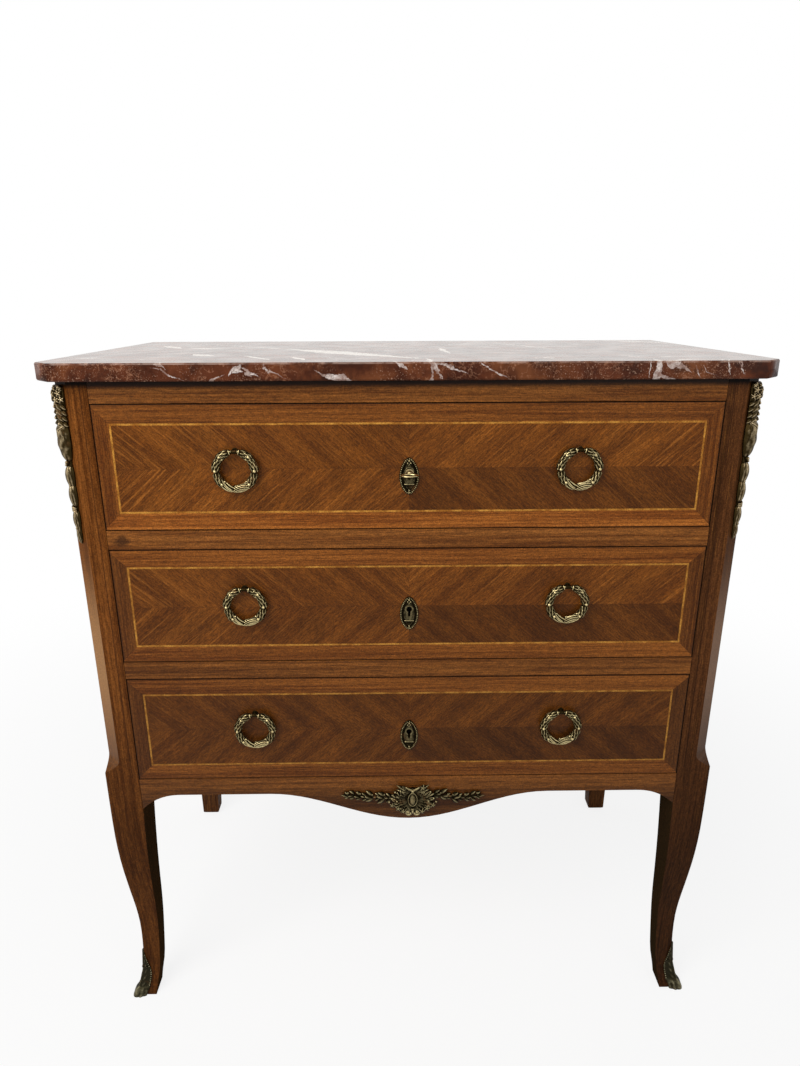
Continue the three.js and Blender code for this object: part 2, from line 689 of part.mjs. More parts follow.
// The key stands in the lock with its bow level and its bit turned aside, on its own axis
function key() {
  const front = DRAWER.front - LOCK.thickness + LOCK.plate + FIT;
  const rear = DRAWER.front - LOCK.plate - KEY.bitSlack;
  const bowMiddle = -KEY.stemFront - KEY.bowLength / 2;
  const bow = (inset, thickness) => {
    const geometry = new THREE.CylinderGeometry(1, 1, thickness, KEY.bowSides);
    geometry.rotateX(Math.PI / 2).scale(KEY.bowWidth / 2 - inset, KEY.bowLength / 2 - inset, 1);
    return solid(geometry.translate(0, bowMiddle, 0));
  };
  const ring = bow(0, KEY.bowThickness).subtract(bow(KEY.bowRim, KEY.bowThickness + OVERRUN));
  const collar = [-KEY.collarAt - KEY.collarLength, -KEY.collarAt];
  return union([
    bar("y", KEY.stemRadius, [-KEY.stemFront - KEY.bowRim / 2, rear], KEY.sides, [0, 0]),
    bar("y", KEY.collarRadius, collar, KEY.sides, [0, 0]),
    block([0, KEY.bitLength], [front, rear], [-KEY.bitWidth / 2, KEY.bitWidth / 2]),
    ring,
  ]);
}

// Gilt mounts

// A corner drop, hung from its top, with its back on the plane y = 0
function chute() {
  const base = block(
    [-CHUTE.baseWidth / 2, CHUTE.baseWidth / 2],
    [-CHUTE.backing - FIT, -FIT],
    [-CHUTE.length * CHUTE_SHARES.at(-1).at, -CHUTE.length * CHUTE_SHARES[0].at],
  );
  const swells = CHUTE_SHARES.map(({ at, length, width, height, shift }) => drop(
    [width * CHUTE.halfWidth, height * CHUTE.height, length * CHUTE.length],
    0,
    [shift * CHUTE.halfWidth, 0, -at * CHUTE.length],
    CHUTE.sides,
    CHUTE.rings,
  ));
  return union([base, ...swells]).intersect(frontHalf(CHUTE.length));
}

// A leaf-shaped casting that wraps the outer corner of the foot, with a rounded toe
function sabot() {
  const wrap = SABOT.footHalfWidth + SABOT.wrapMargin;
  const waist = SABOT.height * SABOT_WAIST_SHARE;
  const outline = [
    [-SABOT.footHalfWidth, -OVERRUN],
    [SABOT.footHalfWidth, -OVERRUN],
    [SABOT.footHalfWidth, 0],
    [SABOT.waistHalfWidth, waist],
    [0, SABOT.height],
    [-SABOT.waistHalfWidth, waist],
    [-SABOT.footHalfWidth, 0],
  ];
  const leaf = new THREE.ExtrudeGeometry(
    new THREE.Shape(outline.map(([a, b]) => new THREE.Vector2(a, b))),
    { depth: wrap + LEG.stile, bevelEnabled: false },
  );
  leaf.rotateX(Math.PI / 2).translate(0, wrap, 0).rotateZ(Math.PI / 4).translate(halfCase, 0, 0);
  const skin = legBody(FIT + SABOT.thickness).intersect(solid(leaf));
  const toe = new THREE.SphereGeometry(1, SABOT.sides, SABOT.sides / 2);
  toe.scale(SABOT.toeRadius, SABOT.toeRadius, SABOT.toeHeight);
  toe.translate(halfCase + SABOT.toePush - SABOT.toeRadius / 2, SABOT.toeRadius / 2 - SABOT.toePush, 0);
  const floor = block([0, CASE.width], [-CASE.depth, CASE.depth], [0, kneeHeight]);
  return skin.add(solid(toe)).intersect(floor).subtract(legBody(FIT));
}

// The leaf spray on the apron, with an oval boss in its middle
function spray() {
  const half = SPRAY.width / 2;
  const stemReach = half * SPRAY_LEAF_SHARES.at(-1).at;
  const stem = block(
    [-stemReach, stemReach],
    [-SPRAY.backing - FIT, -FIT],
    [-SPRAY.stemHalfWidth, SPRAY.stemHalfWidth],
  );
  const leaves = SPRAY_LEAF_SHARES.flatMap(({ at, rise, length, width, turn }) => [1, -1].map((hand) => drop(
    [length * half, SPRAY.leafDepth, width * SPRAY.leafWidth],
    -hand * turn,
    [hand * at * half, 0, rise * half],
    SPRAY.sides,
    SPRAY.rings,
  )));
  const crests = SPRAY_CREST_SHARES.flatMap(({ across, turn }) => [1, -1].map((hand) => drop(
    [SPRAY.crestWidth / 2, SPRAY.leafDepth, SPRAY.crestHeight / 2],
    -hand * turn,
    [across * SPRAY.cabochonWidth, 0, hand * SPRAY.crestHeight / 2],
    SPRAY.sides,
    SPRAY.rings,
  )));
  const bossSize = [SPRAY.cabochonWidth / 2, SPRAY.cabochonDepth, SPRAY.cabochonHeight / 2];
  const boss = drop(bossSize, 0, [0, 0, 0], SPRAY.bossSides, SPRAY.rings);
  return union([stem, boss, ...leaves, ...crests]).intersect(frontHalf(SPRAY.width));
}

// Assembly

function addDrawer(parent, level) {
  const name = `drawer_${level + 1}`;
  const drawer = new THREE.Group();
  drawer.position.z = openingBottoms[level] + DRAWER.gap;
  parent.add(drawer);
  piece(drawer, `${name}_front`, geometryOf(drawerFront(level)), "veneer");
  pair(drawer, `${name}_side`, drawerSide(), "innerWood");
  piece(drawer, `${name}_back`, geometryOf(drawerBack()), "innerWood");
  piece(drawer, `${name}_bottom`, geometryOf(bottomGroove(0)), "innerWood");
  piece(drawer, `lock_${level + 1}`, geometryOf(lockCase()), "iron");
  piece(drawer, `lock_bolt_${level + 1}`, geometryOf(boltSolid(0, DRAWER.height)), "brass");
  piece(drawer, `keyhole_plate_${level + 1}`, geometryOf(keyholePlate()), "brass");
  pullCentres(level).forEach(({ hand, x, z }) => {
    const pull = new THREE.Group();
    pull.position.set(x, 0, z);
    drawer.add(pull);
    piece(pull, `ring_${level + 1}_${hand}`, geometryOf(wreath()), "brass");
    piece(pull, `ring_stud_${level + 1}_${hand}`, geometryOf(stud()), "brass");
  });
  if (level === 0) piece(drawer, "key", geometryOf(key()), "brass").position.z = keyAxis;
}

function addCase(parent) {
  pair(parent, "front_leg", frontLeg(), "veneer");
  pair(parent, "rear_post", rearPost(), "veneer");
  pair(parent, "side_panel", sidePanel(), "veneer");
  piece(parent, "back_panel", geometryOf(backPanel()), "innerWood");
  piece(parent, "top_rail", geometryOf(rail(topRailBottom, RAIL.topHeight)), "veneer");
  railBottoms.forEach((bottom, i) => {
    const body = rail(bottom, RAIL.height, openingBottoms[i]);
    piece(parent, `rail_${i + 1}_${i + 2}`, geometryOf(body), "veneer");
  });
  piece(parent, "front_apron", geometryOf(frontApron()), "veneer");
  openingBottoms.forEach((top, i) => {
    const depth = i < railBottoms.length ? railDepth : APRON.thickness;
    pair(parent, `runner_${i + 1}`, runner(top, depth), "innerWood");
  });
}

function addMounts(parent) {
  [["right", 1], ["left", -1]].forEach(([hand, sign]) => {
    const mesh = piece(parent, `corner_mount_${hand}`, geometryOf(chute()), "brass");
    mesh.position.set(sign * (halfCase - LEG.cant / 2), LEG.cant / 2, caseHeight - CHUTE.drop);
    mesh.rotation.z = (sign * Math.PI) / 4;
  });
  pair(parent, "sabot", sabot(), "brass");
  const height = apronFlat - APRON.lobeDrop + SPRAY.lobeRise;
  piece(parent, "apron_mount", geometryOf(spray()), "brass").position.set(SPRAY.shift, 0, height);
}

const group = new THREE.Group();
const body = new THREE.Group();
body.position.y = caseFront;
group.add(body);
piece(body, "marble_top", geometryOf(slab()), "marble");
addCase(body);
addMounts(body);
for (let level = 0; level < DRAWER.count; level += 1) addDrawer(body, level);

export default group;
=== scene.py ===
import json
import math
import random

import bpy
from mathutils import Matrix, Vector


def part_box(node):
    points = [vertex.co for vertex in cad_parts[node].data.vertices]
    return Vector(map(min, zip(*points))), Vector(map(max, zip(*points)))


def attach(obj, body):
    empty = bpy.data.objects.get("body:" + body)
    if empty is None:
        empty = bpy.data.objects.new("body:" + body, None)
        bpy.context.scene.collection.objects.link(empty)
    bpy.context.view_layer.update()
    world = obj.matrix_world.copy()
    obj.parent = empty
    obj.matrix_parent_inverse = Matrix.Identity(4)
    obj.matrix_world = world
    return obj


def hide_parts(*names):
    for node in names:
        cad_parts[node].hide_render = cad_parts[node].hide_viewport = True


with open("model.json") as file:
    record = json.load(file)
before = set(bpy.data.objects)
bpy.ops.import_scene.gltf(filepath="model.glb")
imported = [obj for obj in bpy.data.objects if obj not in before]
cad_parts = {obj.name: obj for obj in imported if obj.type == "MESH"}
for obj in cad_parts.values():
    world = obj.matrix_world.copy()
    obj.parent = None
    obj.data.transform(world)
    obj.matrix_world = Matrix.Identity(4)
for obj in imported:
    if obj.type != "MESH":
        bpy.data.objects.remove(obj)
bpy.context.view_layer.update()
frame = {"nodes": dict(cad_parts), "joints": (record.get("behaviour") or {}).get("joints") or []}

# Looks of the commode chest: camera, light, materials and the detailed brass mounts.
# Shapes are in millimetres in the row frame and become metres when a piece is made. Materials work in metres.

MM = 0.001
TURN = 2 * math.pi
X, Y, Z = Vector((1, 0, 0)), Vector((0, 1, 0)), Vector((0, 0, 1))
HANDS = {"left": -1, "right": 1}
LEVELS = (1, 2, 3)

# The photograph's height in pixels, and the camera that fits it in millimetres and degrees
PHOTO_HEIGHT = 1066
CAMERA = {
    "place": (-19.29, -949.67, 916.26), "focal_pixels": 720.9, "pitch": 17.78, "yaw": -0.68, "roll": -0.2,
}
SENSOR = 36

# Lamps: name, place and target in metres, size, power and colour
LAMPS = (
    ("key_lamp", (-1.2, -1.5, 2.2), (-0.1, -0.1, 0.7), 1.6, 46, (1, 0.97, 0.93)),
    ("fill_lamp", (1.4, -2.4, 1.6), (0, 0, 0.6), 2.0, 9, (0.95, 0.97, 1)),
)
FLOOR = {"radius": 7.0, "sides": 64}

# Case sizes that the materials and mounts follow
HALF_CASE = 377
CASE_FRONT = -185
CANT = 19.5
KNEE = 361
SLAB_TOP, SLAB_FRONT = 858, -198
DRAWER_BOTTOMS = {1: 676.5, 2: 514.5, 3: 352.5}
DRAWER_THICKNESS = 20

# From the outer corner of a front stile to the joint in its veneer
STILE_JOINT = 33

FIT = 0.3
IDENTITY = Matrix.Identity(4)
MIRROR = Matrix.Scale(-1, 4, X)


def srgb(red, green, blue):
    """A colour written as on a screen, from 0 to 255, as the linear colour that nodes hold."""
    linear = []
    for value in (red, green, blue):
        share = value / 255
        linear.append(share / 12.92 if share <= 0.04045 else ((share + 0.055) / 1.055) ** 2.4)
    return (*linear, 1)


# Camera, light and stage


def add_camera():
    pitch, yaw, roll = (math.radians(CAMERA[key]) for key in ("pitch", "yaw", "roll"))
    level_right = Vector((math.cos(yaw), math.sin(yaw), 0))
    level_ahead = Vector((-math.sin(yaw), math.cos(yaw), 0))
    ahead = level_ahead * math.cos(pitch) - Z * math.sin(pitch)
    upright = level_ahead * math.sin(pitch) + Z * math.cos(pitch)
    right = level_right * math.cos(roll) + upright * math.sin(roll)
    up = upright * math.cos(roll) - level_right * math.sin(roll)
    data = bpy.data.cameras.new("camera")
    data.sensor_width = SENSOR
    data.lens = CAMERA["focal_pixels"] * SENSOR / PHOTO_HEIGHT
    camera = bpy.data.objects.new("camera", data)
    turn = Matrix((right, up, -ahead)).transposed().to_4x4()
    camera.matrix_world = Matrix.Translation(Vector(CAMERA["place"]) * MM) @ turn
    bpy.context.collection.objects.link(camera)
    bpy.context.scene.camera = camera


def add_lamp(name, place, target, size, power, colour):
    data = bpy.data.lights.new(name, "AREA")
    data.shape = "SQUARE"
    data.size = size
    data.energy = power
    data.color = colour
    lamp = bpy.data.objects.new(name, data)
    lamp.location = place
    lamp.rotation_euler = (Vector(target) - Vector(place)).to_track_quat("-Z", "Y").to_euler()
    bpy.context.collection.objects.link(lamp)


def add_world():
    """Soft light for the object, seen as plain white by the camera, in gloss and through glass."""
    s = Shader("studio", "worlds")
    rays = s.outputs("ShaderNodeLightPath")
    shown = s.most(rays["Is Camera Ray"], rays["Is Glossy Ray"], rays["Is Transmission Ray"])
    light = s.node("ShaderNodeBackground", {"Color": (0.96, 0.98, 1, 1), "Strength": 0.4})
    white = s.node("ShaderNodeBackground", {"Color": (1, 1, 1, 1)})
    s.outputs("ShaderNodeOutputWorld", {0: s.node("ShaderNodeMixShader", {0: shown, 1: light, 2: white})})
    bpy.context.scene.world = s.owner


def add_floor():
    reach = FLOOR["radius"]
    ring = [(reach * math.cos(turn), reach * math.sin(turn), 0) for turn in circle(FLOOR["sides"])]
    mesh = bpy.data.meshes.new("floor")
    mesh.from_pydata(ring, [], [tuple(range(len(ring)))])
    floor = bpy.data.objects.new("floor", mesh)
    mesh.materials.append(floor_material())
    bpy.context.collection.objects.link(floor)


# Node trees


class Number:
    """A number that a node gives. Sums and comparisons with it are further nodes."""

    def __init__(self, tree, socket):
        self.tree = tree
        self.socket = socket

    def __add__(self, other):
        return self.tree.math("ADD", self, other)

    def __sub__(self, other):
        return self.tree.math("SUBTRACT", self, other)

    def __rsub__(self, other):
        return self.tree.math("SUBTRACT", other, self)

    def __mul__(self, other):
        return self.tree.math("MULTIPLY", self, other)

    def __truediv__(self, other):
        return self.tree.math("DIVIDE", self, other)

    def __gt__(self, other):
        return self.tree.math("GREATER_THAN", self, other)

    def __lt__(self, other):
        return self.tree.math("LESS_THAN", self, other)

    def __abs__(self):
        return self.tree.math("ABSOLUTE", self)


class Tree:
    """A node tree, with a call that makes a node and joins up its inputs."""

    def __init__(self, tree):
        self.nodes = tree.nodes
        self.links = tree.links
        self.nodes.clear()

    def put(self, value, socket):
        if isinstance(value, Number):
            value = value.socket
        if isinstance(value, bpy.types.NodeSocket):
            self.links.new(value, socket)
        elif value is not None:
            socket.default_value = value

    def outputs(self, kind, inputs=(), **settings):
        made = self.nodes.new(kind)
        for key, value in settings.items():
            setattr(made, key, value)
        for key, value in dict(inputs).items():
            self.put(value, made.inputs[key])
        return made.outputs

    def node(self, kind, inputs=(), **settings):
        return self.outputs(kind, inputs, **settings)[0]


class Shader(Tree):
    """The nodes of a material or of the world, with one short call for each kind of node."""

    def __init__(self, name, store="materials"):
        self.owner = getattr(bpy.data, store).new(name)
        self.owner.use_nodes = True
        super().__init__(self.owner.node_tree)

    def place(self):
        """The point's place in metres, which moves with its piece."""
        return self.outputs("ShaderNodeTexCoord")["Object"]

    def facing(self):
        return self.split(self.outputs("ShaderNodeNewGeometry")["True Normal"])

    def split(self, vector):
        return [Number(self, socket) for socket in self.outputs("ShaderNodeSeparateXYZ", {0: vector})]

    def join(self, x, y, z):
        return self.node("ShaderNodeCombineXYZ", {0: x, 1: y, 2: z})

    def vector(self, operation, a, b):
        return self.node("ShaderNodeVectorMath", {0: a, 1: b}, operation=operation)

    def math(self, operation, a, b=None):
        return Number(self, self.node("ShaderNodeMath", {0: a, 1: b}, operation=operation))

    def most(self, first, *others):
        for other in others:
            first = self.math("MAXIMUM", first, other)
        return first

    def least(self, first, *others):
        for other in others:
            first = self.math("MINIMUM", first, other)
        return first

    def choose(self, share, a, b):
        """A number between two others."""
        return Number(self, self.node("ShaderNodeMix", {0: share, 2: a, 3: b}, data_type="FLOAT"))

    def mix(self, share, a, b):
        """A colour between two others, each from a node or written as on a screen."""
        a, b = (srgb(*colour) if isinstance(colour, tuple) else colour for colour in (a, b))
        return self.outputs("ShaderNodeMix", {0: share, 6: a, 7: b}, data_type="RGBA")[2]

    def lighten(self, colour, value):
        return self.node("ShaderNodeHueSaturation", {"Value": value, "Color": colour})

    def noise(self, vector, scale, detail=2.0, roughness=0.5):
        inputs = {"Vector": vector, "Scale": scale, "Detail": detail, "Roughness": roughness}
        return Number(self, self.node("ShaderNodeTexNoise", inputs))

    def pattern(self, vector, name):
        return self.noise(vector, *PATTERNS[name])

    def ease(self, value, start, end, low=0.0, high=1.0):
        inputs = {0: value, 1: start, 2: end, 3: low, 4: high}
        return Number(self, self.node("ShaderNodeMapRange", inputs, interpolation_type="SMOOTHSTEP"))

    def bump(self, height, strength, distance):
        return self.node("ShaderNodeBump", {"Height": height, "Strength": strength, "Distance": distance})

    def finish(self, **inputs):
        """The finished material, its shader's inputs named with underscores."""
        inputs = {key.replace("_", " "): value for key, value in inputs.items()}
        self.outputs("ShaderNodeOutputMaterial", {0: self.node("ShaderNodeBsdfPrincipled", inputs)})
        return self.owner


# Materials


def floor_material():
    """Pale floor that fades to the white background away from the object, for the camera only."""
    s = Shader("floor_pale")
    away = s.outputs("ShaderNodeVectorMath", {0: s.place()}, operation="LENGTH")[1]
    white = s.ease(away, 0.4, 1.7, 0.84, 1.0) * s.outputs("ShaderNodeLightPath")["Is Camera Ray"]
    lit = s.node("ShaderNodeBsdfDiffuse", {"Color": (0.9, 0.9, 0.9, 1)})
    glow = s.node("ShaderNodeEmission", {"Color": (1, 1, 1, 1), "Strength": 1.0})
    s.outputs("ShaderNodeOutputMaterial", {0: s.node("ShaderNodeMixShader", {0: white, 1: lit, 2: glow})})
    return s.owner


# Marks of wood: how many to a metre along the grain and across it
FIGURE = (1.6, 40)
STREAKS = (5, 300)
DASHES = (34, 900)
PORES = (170, 2600)
FIBRES = (140, 700)

# Further marks in the fields of the drawer fronts: broad ribbons and fine pale lines
RIBBONS = (1.6, 62)
GLINTS = (14, 330)

# Patterns of noise: how many waves to a metre, how much detail and how rough
PATTERNS = {
    "mottle": (850, 2, 0.7), "wear": (9, 3, 0.6), "knot": (160, 2), "clouds": (26, 3, 0.6),
    "wobble": (60, 2), "pale_wood": (70, 3, 0.6), "stain": (6, 3, 0.6), "ragged_vein": (130, 3, 0.7),
    "threads": (7, 4, 0.55), "thread_areas": (9, 2), "broken_veins": (420, 3, 0.7), "ground": (26, 6, 0.66),
    "rust_areas": (13, 4, 0.6), "patches": (48, 4, 0.6), "mesh": (95, 3, 0.6), "mesh_areas": (24, 3, 0.6),
    "specks": (520, 3, 0.7), "speck_areas": (18, 2), "pale_veins": (120, 3), "arris_wear_and_highlight": (60, 3, 0.6),
    "polish": (30, 3), "metal_patches": (240, 3, 0.6), "metal_grains": (1500, 2, 0.5),
    "metal_hollows": (130, 3, 0.55), "tarnish": (90, 2), "iron_rust": (55, 4, 0.65),
    "brushing": (160, 3, 0.6),
}

# Colours of what shows in or on the wood
WOOD = {
    "pore": (44, 20, 5), "raw_pore": (70, 44, 22), "fleck": (186, 122, 54), "knot": (38, 18, 6),
    # The inner colour is painted shade on the legs' inner faces
    "joint": (44, 22, 10), "shade": (24, 11, 4), "stain": (92, 62, 34), "inner": (40, 31, 19),
}

# Colours of a drawer's face: dark and light of its band, its field and its pale line, and what lies on them
FACE = {
    "band": ((90, 46, 11), (134, 78, 28)), "field": ((91, 48, 11), (114, 64, 18)),
    "line": ((162, 102, 34), (210, 148, 62)), "dash": (50, 22, 5), "glint": (176, 108, 42),
    # The last two are painted shade: along the face's edges by the gaps, and on the wood behind the face
    "gap_shade": (36, 18, 8), "edge": (40, 20, 8),
}

# Colours of the marble: its ground, what lies on that, its veins on the edge and on the top, and its arris
STONE = {
    "ground": ((56, 23, 8), (98, 50, 27)), "rust": (118, 70, 38), "patch": (42, 20, 12),
    "mesh": (176, 126, 96), "speck": (196, 156, 130), "vein": ((150, 124, 114), (212, 200, 194)),
    # The top's veins are whiter as painted light; the arris is pale from wear and a painted highlight
    "top_vein": (250, 242, 234), "arris": (206, 176, 160),
}

# A small dark knot in the upper rail between drawers, in millimetres
KNOT = {"x": -319, "z": 664, "half_width": 11, "half_height": 7}


def grain_noise(s, grain, marks, detail=2.0, roughness=0.55):
    """Noise drawn out along the grain, which is given by the distances along, across and into the wood."""
    along, across, depth = grain
    long, fine = marks
    return s.noise(s.join(along * long, across * fine, depth * fine), 1, detail, roughness)


def wood_marks(s, grain):
    """Streaks, dark dashes, pores and fibres, each from 0 to 1."""
    streaks = grain_noise(s, grain, FIGURE) * 0.4 + grain_noise(s, grain, STREAKS, 3, 0.62) * 0.6
    dashes, pores = grain_noise(s, grain, DASHES, 1.5), grain_noise(s, grain, PORES, 1)
    return streaks, dashes, pores, grain_noise(s, grain, FIBRES, 2, 0.7)


def wood_colour(s, marks, dark, light, pore="pore", strength=0.42):
    """The colour of wood between two others, and where its pores and dashes lie."""
    streaks, dashes, pores, fibres = marks
    colour = s.mix(s.ease(streaks, 0.37, 0.63), dark, light)
    colour = s.lighten(colour, s.ease(fibres, 0.3, 0.7, 0.74, 1.28))
    lines, pits = s.ease(dashes, 0.52, 0.7), s.ease(pores, 0.56, 0.7)
    colour = s.mix(lines * strength, colour, WOOD[pore])
    colour = s.mix(pits * (strength * 0.6), colour, WOOD[pore])
    colour = s.mix(s.ease(dashes, 0.43, 0.3) * 0.12, colour, WOOD["fleck"])
    return colour, s.most(pits, lines)


def polished(s, colour, pits, gloss=0.12, coat=0.0):
    """Satin varnish over wood: the pores show in the gloss and as a faint relief."""
    mottle = s.ease(s.pattern(s.place(), "mottle"), 0.3, 0.7, 0.68, 1.36)
    worn = s.ease(s.pattern(s.place(), "wear"), 0.3, 0.75, 0.29, 0.46)
    return s.finish(
        Base_Color=s.lighten(colour, mottle), Roughness=worn + pits * 0.12, Specular_IOR_Level=gloss,
        Normal=s.bump(pits * -1, 0.25, 0.0002), Coat_Weight=coat, Coat_Roughness=0.3,
    )


def grain_directions(s, axis):
    """The distances along, across and into the wood for grain along an axis."""
    x, y, z = s.split(s.place())
    return {"x": (x, z, y), "y": (y, z, x), "z": (z, x, y)}[axis]


def knot_share(s):
    x, _, z = s.split(s.place())
    wide = (x - KNOT["x"] * MM) / (KNOT["half_width"] * MM)
    high = (z - KNOT["z"] * MM) / (KNOT["half_height"] * MM)
    away = s.math("SQRT", wide * wide + high * high) + (s.pattern(s.place(), "knot") - 0.5) * 0.8
    return s.ease(away, 1.1, 0.45, 0.0, 0.75)


def veneer(name, axis, dark, light, shift=0.0, gloss=0.12, knot=False, shade=None):
    """Polished veneer; its shade is the height of the dark end, where it starts and how light the end is."""
    s = Shader(name)
    along, across, depth = grain_directions(s, axis)
    colour, pits = wood_colour(s, wood_marks(s, (along + shift, across, depth)), dark, light)
    if knot:
        colour = s.mix(knot_share(s), colour, WOOD["knot"])
    if shade:
        end, start, value = shade
        share = s.ease(s.split(s.place())[2], end * MM, start * MM, value, 1.0)
        colour = s.mix(share, WOOD["shade"], colour)
    return polished(s, colour, pits, gloss)


# Heights in metres between which a leg's look changes: the grain that follows its inward sweep, the painted
# shade of its foot and under the slab, its cant's painted sheen from below and from above, and its varnish
LEG_CHANGES = {
    "sweep": (0.05, 0.3), "foot": (0.2, 0.62), "slab_shade": (0.8364, 0.8295), "sheen_below": (0.36, 0.5),
    "sheen_above": (0.66, 0.53), "varnish": (0.68, 0.54),
}

# Half widths in metres between which fine lines in the veneer fade in
FINE_LINES = {
    # The last is the band of painted shade along the edges of a drawer's face
    "joint": (0.0009, 0.0003), "mitre": (0.0007, 0.0002), "seam": (0.0005, 0.0001), "gap_shade": (0.0011, 0.0004),
}


def leg_veneer(name, hand, dark, light, cant_sheen, foot):
    """Upright grain with a joint; varnish on the cant and outer face, painted shade darkening the inner
    faces.
    """
    s = Shader(name)
    x, y, z = s.split(s.place())
    drawn_in = x + s.ease(z, *LEG_CHANGES["sweep"], -0.011 * hand, 0.0) * -1
    colour, pits = wood_colour(s, wood_marks(s, (z, drawn_in, y)), dark, light, strength=0.3)
    from_joint = abs(abs(x) - (HALF_CASE - STILE_JOINT) * MM)
    line = s.ease(from_joint, *FINE_LINES["joint"]) * (z > KNEE * MM)
    colour = s.mix(line * 0.6, colour, WOOD["joint"])
    # Painted shade: darker towards the foot and just under the slab
    lit = s.ease(z, *LEG_CHANGES["foot"], foot, 1.0) * s.ease(z, *LEG_CHANGES["slab_shade"], 0.04, 1.0)
    colour = s.lighten(colour, lit)

    across, back, _ = s.facing()
    outward = across * hand
    outer = s.ease(outward, 0.3, 0.6)
    cant = outer * s.ease(outward, 0.97, 0.85)
    sheen_reach = s.ease(z, *LEG_CHANGES["sheen_below"], 0.15, 1.0) * s.ease(z, *LEG_CHANGES["sheen_above"], 0.04, 1.0)
    # Painted sheen: a paler tan on the cant between the knee and the drop
    colour = s.mix(cant * sheen_reach * 0.8, colour, cant_sheen)
    # Painted shade: faces turned inward and faces turned back are darkened
    inner = s.most(s.ease(outward, -0.5, -0.8), s.ease(back, 0.5, 0.8))
    colour = s.mix(inner * 0.85, colour, WOOD["inner"])
    front = s.ease(back, -0.5, -0.8) * 0.12
    coat = s.most(outer * s.ease(z, *LEG_CHANGES["varnish"], 0.12, 0.32), front)
    return polished(s, colour, pits, 0.0, coat)


# Inlay of a drawer front: half size of the pale line's rectangle, its middle above the drawer's bottom,
# half the line's width, and the slant of the veneer
INLAY = {"half_width": 317, "half_height": 48.5, "middle": 68.5, "line": 1.1, "slant": 42}

# How far the sheets of veneer are apart in the noise that draws them, in metres
SHEETS = {"right": 0.0016, "low": 0.0011, "drawer": 0.31}


class Front:
    """Where a point lies on a drawer's face: distances in metres, and shares that are 0 or 1."""

    def __init__(self, s, level):
        self.x, self.y, self.z = s.split(s.place())
        rise = self.z - (DRAWER_BOTTOMS[level] + INLAY["middle"]) * MM
        self.wide, self.high = abs(self.x), abs(rise)
        self.past_side = self.wide - INLAY["half_width"] * MM
        self.past_top = self.high - INLAY["half_height"] * MM
        self.past = s.most(self.past_side, self.past_top)
        self.band = self.past > 0.0
        self.field = 1.0 - self.band
        self.end_band = self.past_side > self.past_top
        self.right = self.x > 0.0
        self.low = rise < 0.0


def front_grain(s, at_front, level):
    """Grain that slants in each quarter of the field and follows each side of the band."""
    slant = math.radians(INLAY["slant"])
    wide, high, end_band = at_front.wide, at_front.high, at_front.end_band
    field_along = wide * math.cos(slant) + high * math.sin(slant)
    field_across = high * math.cos(slant) - wide * math.sin(slant)
    along = s.choose(at_front.band, field_along, s.choose(end_band, at_front.x, at_front.z))
    across = s.choose(at_front.band, field_across, s.choose(end_band, at_front.z, at_front.x))
    sheet = (at_front.right * SHEETS["right"] + at_front.low * SHEETS["low"]) * at_front.field
    return along, across, sheet + level * SHEETS["drawer"]


def band_colour(s, at_front, marks, tones):
    above, below, left_end, right_end = tones
    colour, pits = wood_colour(s, marks, *FACE["band"])
    ends = s.choose(at_front.right, left_end, right_end)
    return s.lighten(colour, s.choose(at_front.end_band, s.choose(at_front.low, above, below), ends)), pits


def field_colour(s, at_front, grain, marks, tones):
    """Ribbons under clouds, fibres, dark dashes and glints; each quarter has a tone that is partly painted
    shade.
    """
    streaks, dashes, _, fibres = marks
    ribbons = grain_noise(s, grain, RIBBONS, 1, 0.4) * 0.75 + streaks * 0.25
    colour = s.mix(s.ease(ribbons, 0.33, 0.67), *FACE["field"])
    clouds = s.ease(s.pattern(s.place(), "clouds"), 0.3, 0.7, 0.86, 1.14)
    colour = s.lighten(colour, clouds * s.ease(fibres, 0.3, 0.7, 0.66, 1.36))
    colour = s.mix(s.ease(dashes, 0.54, 0.7) * 0.12, colour, FACE["dash"])
    upper_left, upper_right, lower_left, lower_right = tones
    right = at_front.right
    upper, lower = s.choose(right, upper_left, upper_right), s.choose(right, lower_left, lower_right)
    tone = s.choose(at_front.low, upper, lower)
    glints = s.ease(grain_noise(s, grain, GLINTS, 3, 0.7), 0.52, 0.68)
    glints = glints * s.ease(at_front.wide, 0.1, 0.3, 0.3, 0.5)
    return s.lighten(s.mix(glints * (tone * tone), colour, FACE["glint"]), tone)


def inlay_lines(s, at_front, colour, tone):
    """The band's mitres, the slightly wavering pale line and the seams between the quarters."""
    mitre = s.ease(abs(at_front.past_side - at_front.past_top), *FINE_LINES["mitre"]) * at_front.band
    colour = s.mix(mitre * 0.4, colour, WOOD["joint"])
    wobble = (s.pattern(s.place(), "wobble") - 0.5) * 0.0006
    half_line = INLAY["line"] * MM
    line = s.ease(abs(at_front.past + wobble), half_line * 1.15, half_line * 0.75)
    pale = s.mix(s.ease(s.pattern(s.place(), "pale_wood"), 0.35, 0.65), *FACE["line"])
    colour = s.mix(line, colour, s.lighten(pale, tone))
    seam = s.ease(s.least(at_front.wide, at_front.high), *FINE_LINES["seam"]) * at_front.field
    return s.mix(seam * 0.3, colour, WOOD["joint"])


def front_edges(s, at_front, colour, level):
    """Painted shade along the edges of the face by the gaps, and on the wood behind it."""
    low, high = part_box(f"drawer_{level}_front")
    beside = s.least(at_front.x - low.x, high.x - at_front.x)
    above = s.least(at_front.z - low.z, high.z - at_front.z)
    gap_shade = s.ease(s.least(beside, above), *FINE_LINES["gap_shade"])
    colour = s.mix(gap_shade * 0.75, colour, FACE["gap_shade"])
    return s.mix(at_front.y > (CASE_FRONT + 0.6) * MM, colour, FACE["edge"])


